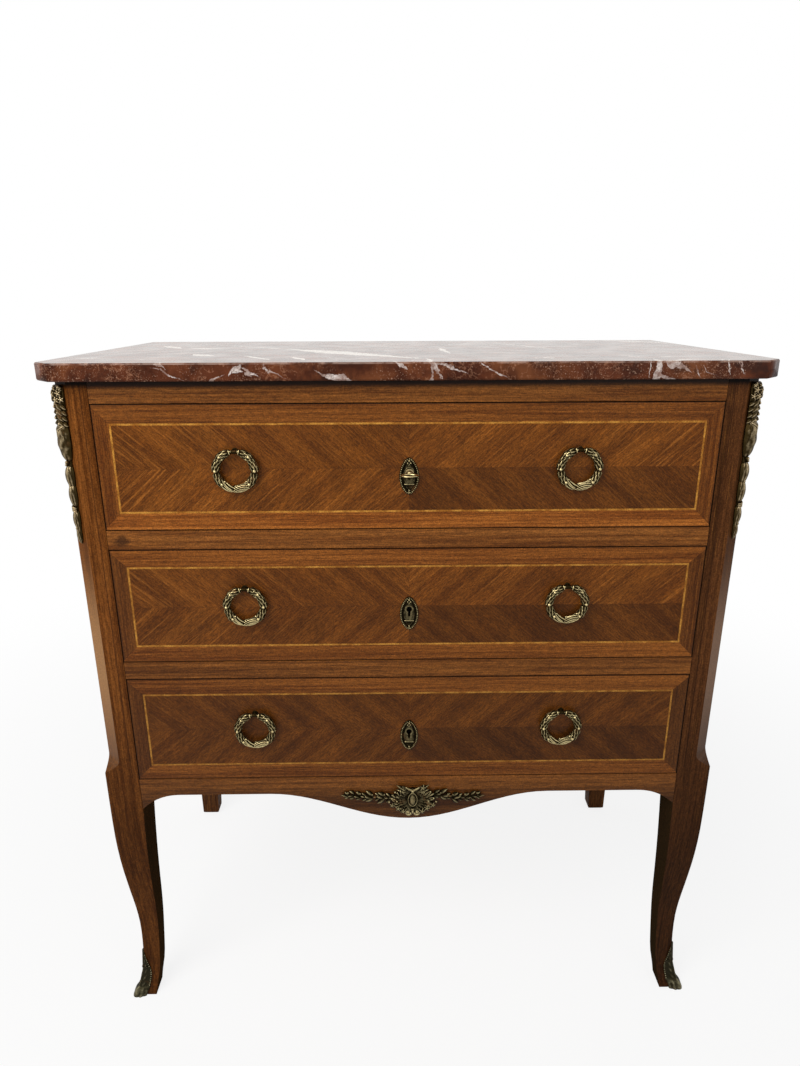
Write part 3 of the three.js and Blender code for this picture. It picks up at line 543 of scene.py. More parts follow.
def inlaid_veneer(name, level, tones):
    """Quartered slanting veneer inside a pale line and a mitred band, on the face of a drawer."""
    s = Shader(name)
    at_front = Front(s, level)
    grain = front_grain(s, at_front, level)
    marks = wood_marks(s, grain)
    band, pits = band_colour(s, at_front, marks, tones["bands"])
    field = field_colour(s, at_front, grain, marks, tones["field"])
    colour = inlay_lines(s, at_front, s.mix(at_front.band, field, band), tones["line"])
    return polished(s, front_edges(s, at_front, colour, level), pits)


def plain_wood(name, axis, dark, light):
    """Unpolished wood of the drawer linings and the parts inside the case."""
    s = Shader(name)
    colour, pits = wood_colour(s, wood_marks(s, grain_directions(s, axis)), dark, light, "raw_pore", 0.4)
    stain = s.ease(s.pattern(s.place(), "stain"), 0.35, 0.75)
    colour = s.mix(stain * 0.35, colour, WOOD["stain"])
    normal = s.bump(pits, 0.3, 0.0003)
    return s.finish(Base_Color=colour, Roughness=0.78, Normal=normal, Specular_IOR_Level=0.2)


# Veins that show on the slab's front edge, in millimetres: where each starts and ends as (x, depth below the
# top), its greatest half width, how far along that is, which way it runs back over the top and how far
FRONT_VEINS = (
    ((-268, 4), (-227, 21), 1.0, 0.3, 20, 0),
    ((-229, 20.5), (-198, 19), 1.5, 0.6, 60, 0),
    ((-262, 1), (-247, 9), 2.6, 0.4, 60, 10),
    ((-210, 20), (-190, 11), 1.5, 0.4, 60, 0),
    ((-187, 14), (-172, 2), 2.0, 0.4, 60, 8),
    ((-183, 12), (-170, 8), 2.0, 0.6, 60, 0),
    ((-176, 12), (-173, 2), 1.4, 0.5, 60, 0),
    ((-173, 5), (-152, 13), 1.8, 0.35, 30, 0),
    ((-170, 9), (-160, 14), 1.4, 0.4, 30, 0),
    ((-165, 12), (-156, 9), 0.9, 0.4, 30, 0),
    ((-160, -3), (-121, 21), 1.0, 0.5, 24, 60),
    ((-97, 8), (-58, 21), 4.4, 0.72, 30, 0),
    ((-14, -3), (-2, 6), 3.0, 0.5, 120, 10),
    ((22, -6), (33, 20), 3.6, 0.3, 138, 22),
    ((27, 0), (62, 12), 2.2, 0.35, 138, 18),
    ((64, -4), (104, 20), 1.3, 0.55, 30, 35),
    ((98, 17.5), (121, 18.5), 1.8, 0.6, 30, 0),
    ((245, -6), (248, 22), 0.7, 0.5, 80, 20),
    ((253, -9), (287, 12), 4.4, 0.5, 35, 18),
    ((256, 10), (272, 22), 3.2, 0.8, 40, 0),
    ((288, 2), (305, 18), 0.6, 0.5, 40, 0),
    ((297, 2), (318, 17), 0.7, 0.4, 40, 0),
    ((327, -5), (330, 18), 2.1, 0.6, 75, 14),
    ((333, -5), (351, 21), 1.3, 0.35, 40, 30),
)

# Veins of the top, in millimetres: start and end as (x, y), greatest half width and how far along that is
TOP_VEINS = (
    ((24, -163), (-157, 26), 20, 0.62),
    ((-140, 5), (-290, 145), 4, 0.3),
    ((24, -208), (21, -150), 4, 0.5),
    ((45, 32), (52, -83), 4.5, 0.35),
    ((-192, -92), (-145, -166), 5, 0.5),
    ((-128, -120), (-111, -170), 5.5, 0.5),
    ((-340, 102), (-294, 40), 8, 0.5),
    ((-292, 46), (-230, 32), 8, 0.5),
    ((-382, -122), (-326, -127), 4.5, 0.5),
    ((-254, -70), (-220, -104), 10, 0.5),
    ((255, -208), (258, -170), 5, 0.4),
    ((130, 156), (202, -33), 3, 0.5),
    ((300, 230), (400, 110), 8, 0.5),
)

# The half widths between which a vein's edges are ragged
RAGGED_VEINS = (1.0, 4.2)

# Noise that bends the marble's figure: how many waves to a metre and how far they reach in metres
WARPS = ((40, 0.010), (190, 0.0024), (700, 0.0015))


def vein(s, first, second, start, end, half, peak):
    """A tapered vein in the plane of two coordinates in metres, its own sizes in millimetres."""
    way = Vector(end) - Vector(start)
    length = way.length
    ahead = way / length
    a, b = first - start[0] * MM, second - start[1] * MM
    share = (a * ahead.x + b * ahead.y) / (length * MM)
    away = b * ahead.x - a * ahead.y
    least, most = (0.3, 1.5) if RAGGED_VEINS[0] < half <= RAGGED_VEINS[1] else (0.8, 1.2)
    ragged = s.ease(s.pattern(s.place(), "ragged_vein"), 0.3, 0.7, least, most)
    width = s.least(share / peak, (1.0 - share) / (1 - peak), 1.0) * (half * MM) * ragged
    return s.ease(width - abs(away), 0.0, 0.0004)


def white_veins(s, place, bent, flat):
    """The slab's placed veins, and random threads on its top."""
    x, y, z = s.split(bent)
    below, behind = SLAB_TOP * MM - z, y - SLAB_FRONT * MM
    veins = []
    for start, end, half, peak, course, reach in FRONT_VEINS:
        level = x - behind * (1 / math.tan(math.radians(course)))
        fade = s.ease(behind, (reach + 5) * MM, (reach * 0.5 + 2) * MM)
        veins.append(vein(s, level, below, start, end, half, peak) * fade)
    veins += [vein(s, x, y, *row) for row in TOP_VEINS]
    threads = s.ease(abs(s.pattern(bent, "threads") - 0.5), 0.006, 0.001)
    threads = threads * s.ease(s.pattern(place, "thread_areas"), 0.46, 0.6)
    ragged = s.ease(s.pattern(place, "broken_veins"), 0.4, 0.54) * 0.5 + 0.5
    return s.most(*veins, threads * (flat * 0.8)) * ragged


def marble_ground(s, place, bent, flat):
    """Red-brown clouds with rust, dark patches, a fine pale mesh and specks; the top is painted lighter."""
    colour = s.mix(s.ease(s.pattern(bent, "ground"), 0.34, 0.66), *STONE["ground"])
    colour = s.mix(s.ease(s.pattern(bent, "rust_areas"), 0.52, 0.7) * 0.5, colour, STONE["rust"])
    colour = s.mix(s.ease(s.pattern(bent, "patches"), 0.45, 0.33) * 0.6, colour, STONE["patch"])
    mesh = s.ease(abs(s.pattern(bent, "mesh") - 0.5), 0.022, 0.004)
    mesh = mesh * s.ease(s.pattern(place, "mesh_areas"), 0.47, 0.6)
    colour = s.mix(mesh * 0.42, colour, STONE["mesh"])
    specks = s.ease(s.pattern(place, "specks"), 0.58, 0.67)
    specks = specks * s.ease(s.pattern(place, "speck_areas"), 0.42, 0.56)
    specks = specks * (s.ease(flat, 0.0, 1.0, 1.0, 0.3) * 0.7)
    # Painted light: the top is made lighter than the edge
    return s.lighten(s.mix(specks, colour, STONE["speck"]), s.ease(flat, 0.0, 1.0, 1.0, 1.4))


def marble(name):
    """Red marble with white veins and an arris pale from wear and painted highlight, polished most on its
    top.
    """
    s = Shader(name)
    place = bent = s.place()
    for scale, reach in WARPS:
        warp = s.outputs("ShaderNodeTexNoise", {"Vector": place, "Scale": scale, "Detail": 1.0})[1]
        warp = s.vector("SUBTRACT", warp, (0.5, 0.5, 0.5))
        bent = s.vector("ADD", bent, s.vector("MULTIPLY", warp, (reach,) * 3))
    upward = s.facing()[2]
    flat = s.ease(upward, 0.95, 0.99)
    pale = s.mix(s.ease(s.pattern(bent, "pale_veins"), 0.35, 0.65), *STONE["vein"])
    # Painted light: veins on the top are whiter than on the edge
    pale = s.mix(flat, pale, STONE["top_vein"])
    colour = s.mix(white_veins(s, place, bent, flat), marble_ground(s, place, bent, flat), pale)
    # The upper arris is paler in patches: partly wear, partly a painted highlight
    arris = s.ease(upward, 0.1, 0.3) * s.ease(upward, 0.99, 0.95)
    worn = arris * s.ease(s.pattern(place, "arris_wear_and_highlight"), 0.38, 0.58)
    return s.finish(
        Base_Color=s.mix(worn * 0.3, colour, STONE["arris"]), Specular_IOR_Level=0.08,
        Roughness=s.ease(s.pattern(place, "polish"), 0.3, 0.7, 0.2, 0.3),
        Coat_Weight=flat * 0.5 + 0.08, Coat_Roughness=0.12, Coat_Tint=(1.0, 0.965, 0.9, 1.0),
    )


def brass(name, dark=(36, 28, 13), light=(206, 188, 138), relief=True):
    """Aged gilt brass: dark in the hollows that the relief attribute marks, bright where it stands out."""
    s = Shader(name)
    place = s.place()
    patches, grains = s.pattern(place, "metal_patches"), s.pattern(place, "metal_grains")
    if relief:
        stand = s.outputs("ShaderNodeAttribute", attribute_name="relief")["Fac"]
    else:
        stand = s.pattern(place, "metal_hollows")
    share = s.ease((patches - 0.5) * 0.7 + stand, 0.3, 1.0)
    colour = s.mix(share, dark, light)
    colour = s.mix(s.ease(s.pattern(place, "tarnish"), 0.55, 0.75) * 0.3, colour, (120, 84, 52))
    rough = s.ease(share, 0.0, 1.0, 0.5, 0.27) + (grains - 0.5) * 0.12
    normal = s.bump(patches + grains * 0.3, 0.35, 0.0003)
    return s.finish(Base_Color=colour, Metallic=1.0, Roughness=rough, Normal=normal)


def iron(name):
    s = Shader(name)
    place = s.place()
    brushed = s.pattern(s.vector("MULTIPLY", place, (1, 4, 12)), "brushing")
    rust = s.ease(s.pattern(place, "iron_rust"), 0.54, 0.72)
    return s.finish(
        Base_Color=s.mix(rust * 0.7, (84, 80, 76), (92, 52, 30)), Metallic=s.ease(rust, 0.0, 1.0, 0.9, 0.25),
        Roughness=s.ease(brushed, 0.3, 0.7, 0.42, 0.62), Normal=s.bump(brushed, 0.15, 0.0002),
    )


# Shading and softened edges of the CAD's pieces

# The distance for welding points and the widths of bevels in millimetres, and angles in degrees
SOFT = {"weld": 0.02, "width": 0.5, "fine_width": 0.4, "steps": 2, "angle": 40, "smooth_angle": 38}
FINE_EDGES = ("marble_top", "lock")


def smooth_group():
    """A modifier's node group that shades faces smooth and keeps edges above an angle sharp."""
    group = bpy.data.node_groups.new("smooth_by_angle", "GeometryNodeTree")
    for way in ("INPUT", "OUTPUT"):
        group.interface.new_socket("Geometry", in_out=way, socket_type="NodeSocketGeometry")
    tree = Tree(group)
    start = tree.node("NodeGroupInput")
    plain = tree.node("GeometryNodeRemoveAttribute", {"Geometry": start, "Name": "custom_normal"})
    angle = tree.node("GeometryNodeInputMeshEdgeAngle")
    limit = math.radians(SOFT["smooth_angle"])
    shallow = tree.node("FunctionNodeCompare", {0: angle, 1: limit}, operation="LESS_THAN")
    inputs = {"Geometry": plain, "Shade Smooth": shallow}
    edges = tree.node("GeometryNodeSetShadeSmooth", inputs, domain="EDGE")
    faces = tree.node("GeometryNodeSetShadeSmooth", {"Geometry": edges}, domain="FACE")
    tree.outputs("NodeGroupOutput", {0: faces})
    return group


def soften(node, width, group):
    piece = frame["nodes"][node]
    piece.modifiers.new("weld", "WELD").merge_threshold = SOFT["weld"] * MM
    bevel = piece.modifiers.new("edges", "BEVEL")
    bevel.width = width * MM
    bevel.segments = SOFT["steps"]
    bevel.limit_method = "ANGLE"
    bevel.angle_limit = math.radians(SOFT["angle"])
    piece.modifiers.new("shading", "NODES").node_group = group
    piece.modifiers.new("normals", "WEIGHTED_NORMAL").keep_sharp = True


def soften_nodes():
    group = smooth_group()
    for node in frame["nodes"]:
        soften(node, SOFT["fine_width" if node.startswith(FINE_EDGES) else "width"], group)


# Sums for shapes


def clamp(value):
    return max(0.0, min(1.0, value))


def shares(steps):
    """The shares of the way at even steps, from 0 to 1."""
    return [i / steps for i in range(steps + 1)]


def circle(sides):
    return [TURN * i / sides for i in range(sides)]


def curve(steps, point):
    """The points that a function gives at even shares of the way."""
    return [Vector(point(share)) for share in shares(steps)]


def oval(turn, width, height, out):
    """A point on an oval, clockwise from its top."""
    return Vector((math.sin(turn) * width, math.cos(turn) * height, out))


def arch(share):
    """Rises from 0 to 1 half way and falls back to 0."""
    return math.sin(math.pi * share)


def wave(turns):
    return 0.5 + 0.5 * math.cos(TURN * turns)


def bell(value):
    return math.exp(-(value ** 2))


def between(pairs, value):
    """The value on a line through pairs."""
    for (low, start), (high, end) in zip(pairs, pairs[1:]):
        if value <= high:
            return start + (end - start) * (value - low) / (high - low)
    return pairs[-1][1]


def facing_out(faces, matrix):
    """Faces with their order turned round if a matrix mirrors them."""
    return [tuple(reversed(face)) for face in faces] if matrix.determinant() < 0 else faces


# Places of shapes


def seat(origin, across, up, out):
    """Turns a mount's own millimetres (across, up, out) into metres in the row frame."""
    basis = Matrix((across, up, out)).transposed().to_4x4()
    return Matrix.Scale(MM, 4) @ Matrix.Translation(Vector(origin)) @ basis


def front_seat(x, y, z):
    """A seat on the chest's front."""
    return seat((x, y, z), X, Z, -Y)


def at(across, up, out):
    return Matrix.Translation(Vector((across, up, out)))


def aim(origin, along, out, lift=0.0):
    """A place whose second axis runs along a direction and whose third stands out of the surface."""
    along = Vector(along).normalized()
    out = Vector(out)
    out = (out - along * out.dot(along)).normalized()
    ahead = along * math.cos(lift) + out * math.sin(lift)
    raised = out * math.cos(lift) - along * math.sin(lift)
    basis = Matrix((ahead.cross(raised), ahead, raised)).transposed().to_4x4()
    return Matrix.Translation(Vector(origin)) @ basis


def flat_aim(across, up, out, degrees, lift=0.0):
    """A place on a flat mount, its second axis turned clockwise from straight up."""
    turn = math.radians(degrees)
    return aim((across, up, out), (math.sin(turn), math.cos(turn), 0), Z, math.radians(lift))


# Shapes of the brass castings


class Casting:
    """A casting in the making: its points in millimetres and how far each stands clear of the hollows."""

    def __init__(self):
        self.points = []
        self.faces = []
        self.relief = []

    def add(self, rows, place=IDENTITY, capped=True, backward=False):
        """Joins rows of (point, relief) into a skin: each row closes on itself, the ends may be capped."""
        first, width = len(self.points), len(rows[0])
        for row in rows:
            for point, relief in reversed(row) if backward else row:
                self.points.append(place @ Vector(point))
                self.relief.append(clamp(relief))
        faces = []
        for r in range(len(rows) - 1):
            a, b = first + r * width, first + (r + 1) * width
            for i in range(width):
                j = (i + 1) % width
                faces.append((a + i, a + j, b + j, b + i))
        if capped:
            last = first + (len(rows) - 1) * width
            faces.append(tuple(first + i for i in reversed(range(width))))
            faces.append(tuple(last + i for i in range(width)))
        self.faces += facing_out(faces, place)

    def make(self, name, seat, flip=False):
        matrix = MIRROR @ seat if flip else seat
        mesh = bpy.data.meshes.new(name)
        mesh.from_pydata([matrix @ point for point in self.points], [], facing_out(self.faces, matrix))
        mesh.attributes.new("relief", "FLOAT", "POINT").data.foreach_set("value", self.relief)
        mesh.shade_smooth()
        mesh.update()
        piece = bpy.data.objects.new(name, mesh)
        bpy.context.collection.objects.link(piece)
        return piece


def leaf_shape(u, t, veins, crease):
    """A leaf's height at a point across and along it: crowned, with a midrib, grooves and slanting veins."""
    rib = 0.45 * bell(u / 0.18)
    groove = -0.38 * bell((abs(u) - 0.36) / 0.17)
    ridge = 0.18 * math.cos(TURN * (veins * t - abs(u) * 1.2)) * (1 - abs(u)) if veins else 0
    return 1 - abs(u) ** 2.2 + ((rib + groove) * crease + ridge) * (1 - t ** 3)


def leaf(casting, place, length, width, height, bend=0.0, sway=0.0, veins=0, fullness=0.8, steps=9, crease=1):
    """A solid leaf from its root along the place's second axis, crowned over its third, with a midrib."""
    rows = []
    for t in shares(steps):
        half = width / 2 * max(0.02, (0.22 + 0.78 * arch(t ** fullness)) * (1 - t ** 7))
        crown = height * (0.45 + 0.55 * arch(t ** 0.7)) * (1 - t ** 8)
        angle = bend * t
        along = length * (math.sin(angle) / bend if bend else t)
        rise = length * ((1 - math.cos(angle)) / bend if bend else 0)
        points = []
        for u in (-1, -0.75, -0.5, -0.25, 0, 0.25, 0.5, 0.75, 1):
            shape = leaf_shape(u, t, veins, crease)
            # The relief grows towards the tip as a painted highlight
            points.append((u, crown * shape, max(0.0, shape) ** 1.6 * (0.35 + 0.5 * t)))
        points += [(0.6, -0.3 * height, 0.0), (-0.6, -0.3 * height, 0.0)]
        row = []
        for u, stand, relief in points:
            point = (u * half + sway * t * t, along - stand * math.sin(angle), rise + stand * math.cos(angle))
            row.append((point, relief))
        rows.append(row)
    casting.add(rows, place)


def bead(casting, place, size, squash=1.0, sides=12, rings=7, bright=1.0):
    """A round berry or bead that stands out along the place's third axis."""
    rows = []
    for share in shares(rings):
        turn = math.pi * (0.02 + 0.96 * share)
        reach, out = math.sin(turn) * size, -math.cos(turn)
        relief = bright * (0.1 + 0.9 * max(0.0, out))
        height = out * size * squash
        points = [(reach * math.cos(around), reach * math.sin(around), height) for around in circle(sides)]
        rows.append([(point, relief) for point in points])
    casting.add(rows, place)


def tube(casting, path, radius, height=1.0, sides=8, out=Z, closed=False, bright=1.0):
    """A bar swept along a path; radius is a number or a function of the share of the way."""
    rows = []
    count = len(path)
    for i, point in enumerate(path):
        before = path[(i - 1) % count] if closed else path[max(0, i - 1)]
        after = path[(i + 1) % count] if closed else path[min(count - 1, i + 1)]
        along = (after - before).normalized()
        up = (out - along * out.dot(along)).normalized()
        side = along.cross(up)
        size = radius(i / (count - 1)) if callable(radius) else radius
        row = []
        for turn in circle(sides):
            offset = side * math.cos(turn) * size - up * math.sin(turn) * size * height
            row.append((point + offset, (0.2 - 0.8 * math.sin(turn)) * bright))
        rows.append(row)
    if closed:
        rows.append(rows[0])
    casting.add(rows, capped=not closed, backward=True)


def bud(casting, top, length, width, height, flutes=5, vees=0.0, ends=(0.6, 0.5)):
    """A half-round fluted bud that hangs on the mount's back; its ends are shares of its width."""
    rows = []
    for v in shares(16):
        least = ends[0] * (1 - v) + ends[1] * v
        size = least + (1 - least) * arch(v ** 0.85) ** 0.8
        row = []
        for around in shares(20):
            side, out = math.cos(math.pi * around), arch(around)
            ripple = wave(flutes * around)
            if vees:
                ripple = 0.4 * ripple + 0.6 * wave(vees * v + abs(side) * 1.3)
            swell = size * (1 - 0.1 * (1 - ripple))
            point = (side * width / 2 * swell, top - length * v, 0.3 + out * height * swell)
            row.append((point, (0.3 + 0.5 * ripple) * out ** 0.5))
        rows.append(row)
    casting.add(rows)


def scroll(casting, centre, size, start, turns, radius, hand=1, height=1.0, bright=1.0):
    """A flat curl that winds in to its eye, with a bead at the eye."""
    def point(share):
        angle = math.radians(start) + hand * TURN * turns * share
        reach = size * (1 - 0.82 * share)
        return centre[0] + math.cos(angle) * reach, centre[1] + math.sin(angle) * reach, centre[2]

    path = curve(int(18 * turns), point)
    tube(casting, path, lambda share: radius * (1 - 0.45 * share), height, bright=bright)
    bead(casting, at(*centre), radius * 1.15, height, bright=bright)


def flower(casting, place, size, petals=5, height=1.4):
    """A small open flower: petals round a bead."""
    for i in range(petals):
        petal = place @ flat_aim(0, 0, 0, 360 * i / petals + 12, 16)
        leaf(casting, petal, size, size * 0.95, height, 0.25, fullness=1.25, steps=6)
    bead(casting, place @ at(0, 0, height * 0.9), size * 0.28)


def turned(casting, profile, place=IDENTITY, sides=20, bright=1.0, closed=False):
    """A shape turned about the place's third axis from (height, radius) pairs."""
    rows = []
    for out, radius in profile:
        points = [(radius * math.cos(turn), radius * math.sin(turn), out) for turn in circle(sides)]
        rows.append([(point, bright * 0.62) for point in points])
    if closed:
        rows.append(rows[0])
    casting.add(rows, place, capped=not closed)


# Ring pulls: a laurel wreath with a gap at the top, where a pin passes through the stud's eye

RING = {"radius": 20.3, "standoff": 5.4, "gap": 12.2, "pin": 1.3, "pin_grip": 2.2}
EYE = {"half_length": 3.3, "hole": 1.5, "radius": 2.3}
STUD = {"neck": 1.8, "rose": 3.4, "shank": 2.2, "nut": 5.0, "nut_height": 4.0}

# Along each side of the wreath, in degrees from the top: leaf bundles, and berries with their places round it
BUNDLES = ((18, 27), (50, 36), (97, 36))
BERRIES = (
    (46.5, ((72, 1.9), (128, 1.5), (18, 1.4))),
    (91, ((78, 2.1), (20, 1.2))),
    (136, ((82, 2.1), (150, 1.5))),
)

# Tiers of leaves in a bundle: their share of a full leaf, and their places round the wreath in degrees
TIERS = ((0.8, (-25, 30, 85, 140, 195)), (1.0, (2, 58, 112, 168)), (0.95, (-20, 32, 85, 138, 190)))

# The collar at each end of the wreath: across and out, and its steps in degrees with their share of its size
COLLAR = {"width": 3.4, "depth": 3.0, "steps": ((-1.8, 0.7), (-1.1, 1.0), (1.1, 1.0), (1.8, 0.7))}


def on_ring(phi, psi, width=3.7, depth=2.8):
    """A point on the wreath's tube: phi clockwise from the top, psi from outward through the front."""
    psi = math.radians(psi)
    reach = RING["radius"] + width * math.cos(psi)
    return oval(math.radians(phi), reach, reach, RING["standoff"] + depth * math.sin(psi))


def ring_aim(phi, psi, width, depth, lift=0.0, lean=0.0):
    turn, side, lean = math.radians(phi), math.radians(psi), math.radians(lean)
    out = Vector((math.sin(turn) * math.cos(side), math.cos(turn) * math.cos(side), math.sin(side)))
    along = Vector((math.cos(turn), -math.sin(turn), 0))
    along = along * math.cos(lean) + along.cross(out) * math.sin(lean)
    return aim(on_ring(phi, psi, width, depth), along, out, math.radians(lift))


def wreath_collar(casting, hand):
    rows = []
    for step, grow in COLLAR["steps"]:
        row = []
        for turn in circle(14):
            phi, psi = RING["gap"] + 2.0 + step, -math.degrees(turn)
            point = on_ring(phi, psi, COLLAR["width"] * grow, COLLAR["depth"] * grow)
            row.append((point, 0.2 - 0.8 * math.sin(turn)))
        rows.append(row)
    casting.add(rows, hand)


def wreath_side(casting, hand):
    wreath_collar(casting, hand)
    for start, span in BUNDLES:
        for tier, (grow, angles) in enumerate(TIERS):
            phi, stand = start + tier * span * 0.3, 0.4 * tier
            for psi in angles:
                lean = 10 * math.cos(math.radians(psi))
                place = ring_aim(phi, psi, 2.4 + stand, 2.0 + stand, 14 - 3 * tier, lean)
                leaf(casting, hand @ place, 9.6 * grow, 4.8 * grow, 1.15, -0.3, fullness=0.85, steps=7)
    for phi, places in BERRIES:
        for psi, size in places:
            bead(casting, hand @ ring_aim(phi, psi, 3.7, 2.9), size)


def wreath():
    casting = Casting()
    gap = RING["gap"]
    core = curve(72, lambda share: on_ring(gap + (360 - 2 * gap) * share, 0, 0, 0))
    tube(casting, core, 3.0, 0.8, 12, bright=0.1)
    reach = RING["radius"] * math.sin(math.radians(gap)) + RING["pin_grip"]
    pin = curve(4, lambda share: (reach * (2 * share - 1), RING["radius"], RING["standoff"]))
    tube(casting, pin, RING["pin"], bright=0.8)
    for hand in (IDENTITY, MIRROR):
        wreath_side(casting, hand)

    # Below, ribs that follow the ring on one side and cross it on the other
    for i, psi in enumerate((-12, 24, 60, 96, 132, 168)):
        ribs = curve(12, lambda share: on_ring(228 - 8 * (i % 2) - 38 * share, psi - 62 * share))
        tube(casting, ribs, lambda share: 0.35 + 0.5 * arch(share), sides=6, bright=0.95)
    for psi in range(0, 360, 40):
        ribs = curve(14, lambda share: on_ring(140 + 46 * share, psi + 150 * share))
        tube(casting, ribs, lambda share: 0.4 + 0.4 * arch(share), sides=6, bright=0.95)
    return casting


def ring_stud():
    """The pull's stud: an eye for the pin, a neck, a rose on the wood, and a shank with its nut behind."""
    casting = Casting()
    half, hole, eye = EYE["half_length"], EYE["hole"], EYE["radius"]
    profile = (
        (-half + 0.3, hole), (-half, hole + 0.4), (-half + 0.2, eye - 0.3), (-half * 0.5, eye),
        (0, eye * 0.94),
        (half * 0.5, eye), (half - 0.2, eye - 0.3), (half, hole + 0.4), (half - 0.3, hole),
    )
    across = aim((0, RING["radius"], RING["standoff"]), Y, X)
    turned(casting, profile, across, 24, 0.3, closed=True)
    base = at(0, RING["radius"], 0)
    neck, rose, nut = STUD["neck"], STUD["rose"], STUD["nut"]
    turned(casting, ((0.6, neck + 0.5), (1.4, neck), (RING["standoff"] - hole - 0.2, neck)), base, 16, 0.2)
    turned(casting, ((FIT, rose), (0.6, rose), (0.9, rose - 0.5), (0.9, 1.9)), base, 24, 0.3)
    rear = -DRAWER_THICKNESS - FIT
    end = rear - STUD["nut_height"]
    turned(casting, ((end, STUD["shank"]), (0.7, STUD["shank"])), base, 16)
    turned(casting, ((end, nut - 0.5), (end + 0.5, nut), (rear - 0.5, nut), (rear, nut - 0.5)), base, 6)
    return casting


# Keyhole plates

PLATE = {"width": 21.5, "height": 41, "key_rise": 5.5, "ledge_drop": 8.7}
KEYHOLE = {"radius": 3.0, "slot_half": 1.3, "slot_drop": 8.5}
PLATE_STEPS = 96

# The plate's half width as a share of its greatest, against the share of the way to its top and to its foot
PLATE_UPPER = (
    (0.0, 1.0), (0.12, 0.99), (0.3, 0.94), (0.5, 0.82), (0.7, 0.64), (0.86, 0.44), (0.95, 0.27), (1.0, 0.06),
)
PLATE_LOWER = ((0.0, 1.0), (0.2, 0.985), (0.45, 0.89), (0.67, 0.71), (0.85, 0.47), (0.95, 0.27), (1.0, 0.06))

# Across the plate from its edge inward: how far in, how high and how clear of the hollows
PLATE_RIM = (
    (0, 0, 0), (0, 0.8, 0.15), (0.3, 1.1, 0.2), (1.9, 1.1, 0.05), (2.3, 1.3, 0.35), (2.6, 1.1, 0.2),
    (3.0, 0.5, 0), (4.0, 0.5, 0), (4.4, 1.5, 0.15), (4.8, 1.8, 0.45),
)

# Shares of the way from the rim in to the keyhole
PLATE_SHARES = (0.12, 0.24, 0.36, 0.48, 0.6, 0.72, 0.84, 0.93, 1.0)
PEARL_SPACING = 2.15
PLATE_BEADS = ((0, -15.6, 1.3), (0, 17.0, 1.5), (-1.7, 14.6, 1.1), (1.7, 14.6, 1.1), (0, -18.0, 1.3))


def plate_outline(inset, step):
    """The plate's pointed oval, drawn in by an inset."""
    turn = TURN * step / PLATE_STEPS
    rise = math.cos(turn)
    share = between(PLATE_UPPER if rise > 0 else PLATE_LOWER, min(1.0, abs(rise)))
    across = (PLATE["width"] / 2 - inset) * math.copysign(share, math.sin(turn))
    return Vector((across, (PLATE["height"] / 2 - inset * 1.25) * rise, 0))


def keyhole_outline(direction):
    """Where a ray from the key's axis leaves the keyhole, a round hole with a slot below."""
    reach = KEYHOLE["radius"]
    if direction.y < 0:
        side = KEYHOLE["slot_half"] / abs(direction.x) if abs(direction.x) > 1e-6 else 1e6
        reach = max(reach, min(side, KEYHOLE["slot_drop"] / -direction.y))
    return direction * reach


def plate_point(point, axis, share):
    """A point of the plate's middle, which is sunk below its ledge and stands up round the keyhole."""
    below = clamp((-PLATE["ledge_drop"] - point.y) / 0.8)
    ring = bell(((point - axis).length - 4.1) / 0.7) if point.y > axis.y - 5 else 0
    tongue = clamp((axis.y - 3.5 - point.y) / 1.5) * clamp((4.2 - abs(point.x)) / 0.8) * (1 - below)
    relief = 0.42 - 0.36 * below + 0.24 * ring + 0.14 * tongue - 0.6 * (share == 1.0)
    return point + Z * (1.7 - 1.1 * below + 0.5 * ring), relief


def plate_skin(casting):
    axis = Vector((0, PLATE["key_rise"], 0))
    steps = range(PLATE_STEPS)
    edge = [plate_outline(PLATE_RIM[-1][0], i) for i in steps]
    hole = [axis + keyhole_outline((point - axis).normalized()) for point in edge]
    rows = []
    for inset, height, relief in PLATE_RIM:
        rows.append([(plate_outline(inset, i) + Z * height, relief) for i in steps])
    for share in PLATE_SHARES:
        rows.append([plate_point(edge[i].lerp(hole[i], share), axis, share) for i in steps])
    rows.append([(Vector((point.x, point.y, 0)), 0) for point, _ in rows[-1]])
    rows.append([(point, 0) for point, _ in rows[0]])
    casting.add(rows, capped=False, backward=True)


def plate_pearls(casting):
    """Pearls at even spaces along the rim."""
    edge = [plate_outline(1.15, step / 4) + Z * 1.3 for step in range(PLATE_STEPS * 4)]
    travelled = PEARL_SPACING
    for before, spot in zip(edge, edge[1:]):
        travelled += (spot - before).length
        if travelled >= PEARL_SPACING:
            bead(casting, at(*spot), 1.05, 1.0, 8, 5, 0.8)
            travelled -= PEARL_SPACING


def keyhole_plate():
    casting = Casting()
    plate_skin(casting)
    plate_pearls(casting)
    ledge = [Vector((x, -PLATE["ledge_drop"], 1.9)) for x in (-5.6, -5.2, -2.6, 0, 2.6, 5.2, 5.6)]
    tube(casting, ledge, lambda share: 0.35 + 0.4 * arch(share) ** 0.2, 1.1, bright=0.9)
    for across, up, size in PLATE_BEADS:
        bead(casting, at(across, up, 1.6), size, bright=0.9)
    for hand in (1, -1):
        leaf(casting, flat_aim(hand * 2.2, 9.6, 1.7, hand * -20, 6), 5.4, 1.7, 0.6, sway=hand * -1.6)
        leaf(casting, flat_aim(hand * 3.4, -3.6, 1.7, 180 - hand * 10, 5), 4.6, 1.5, 0.45)
    return casting


# Key in the top drawer

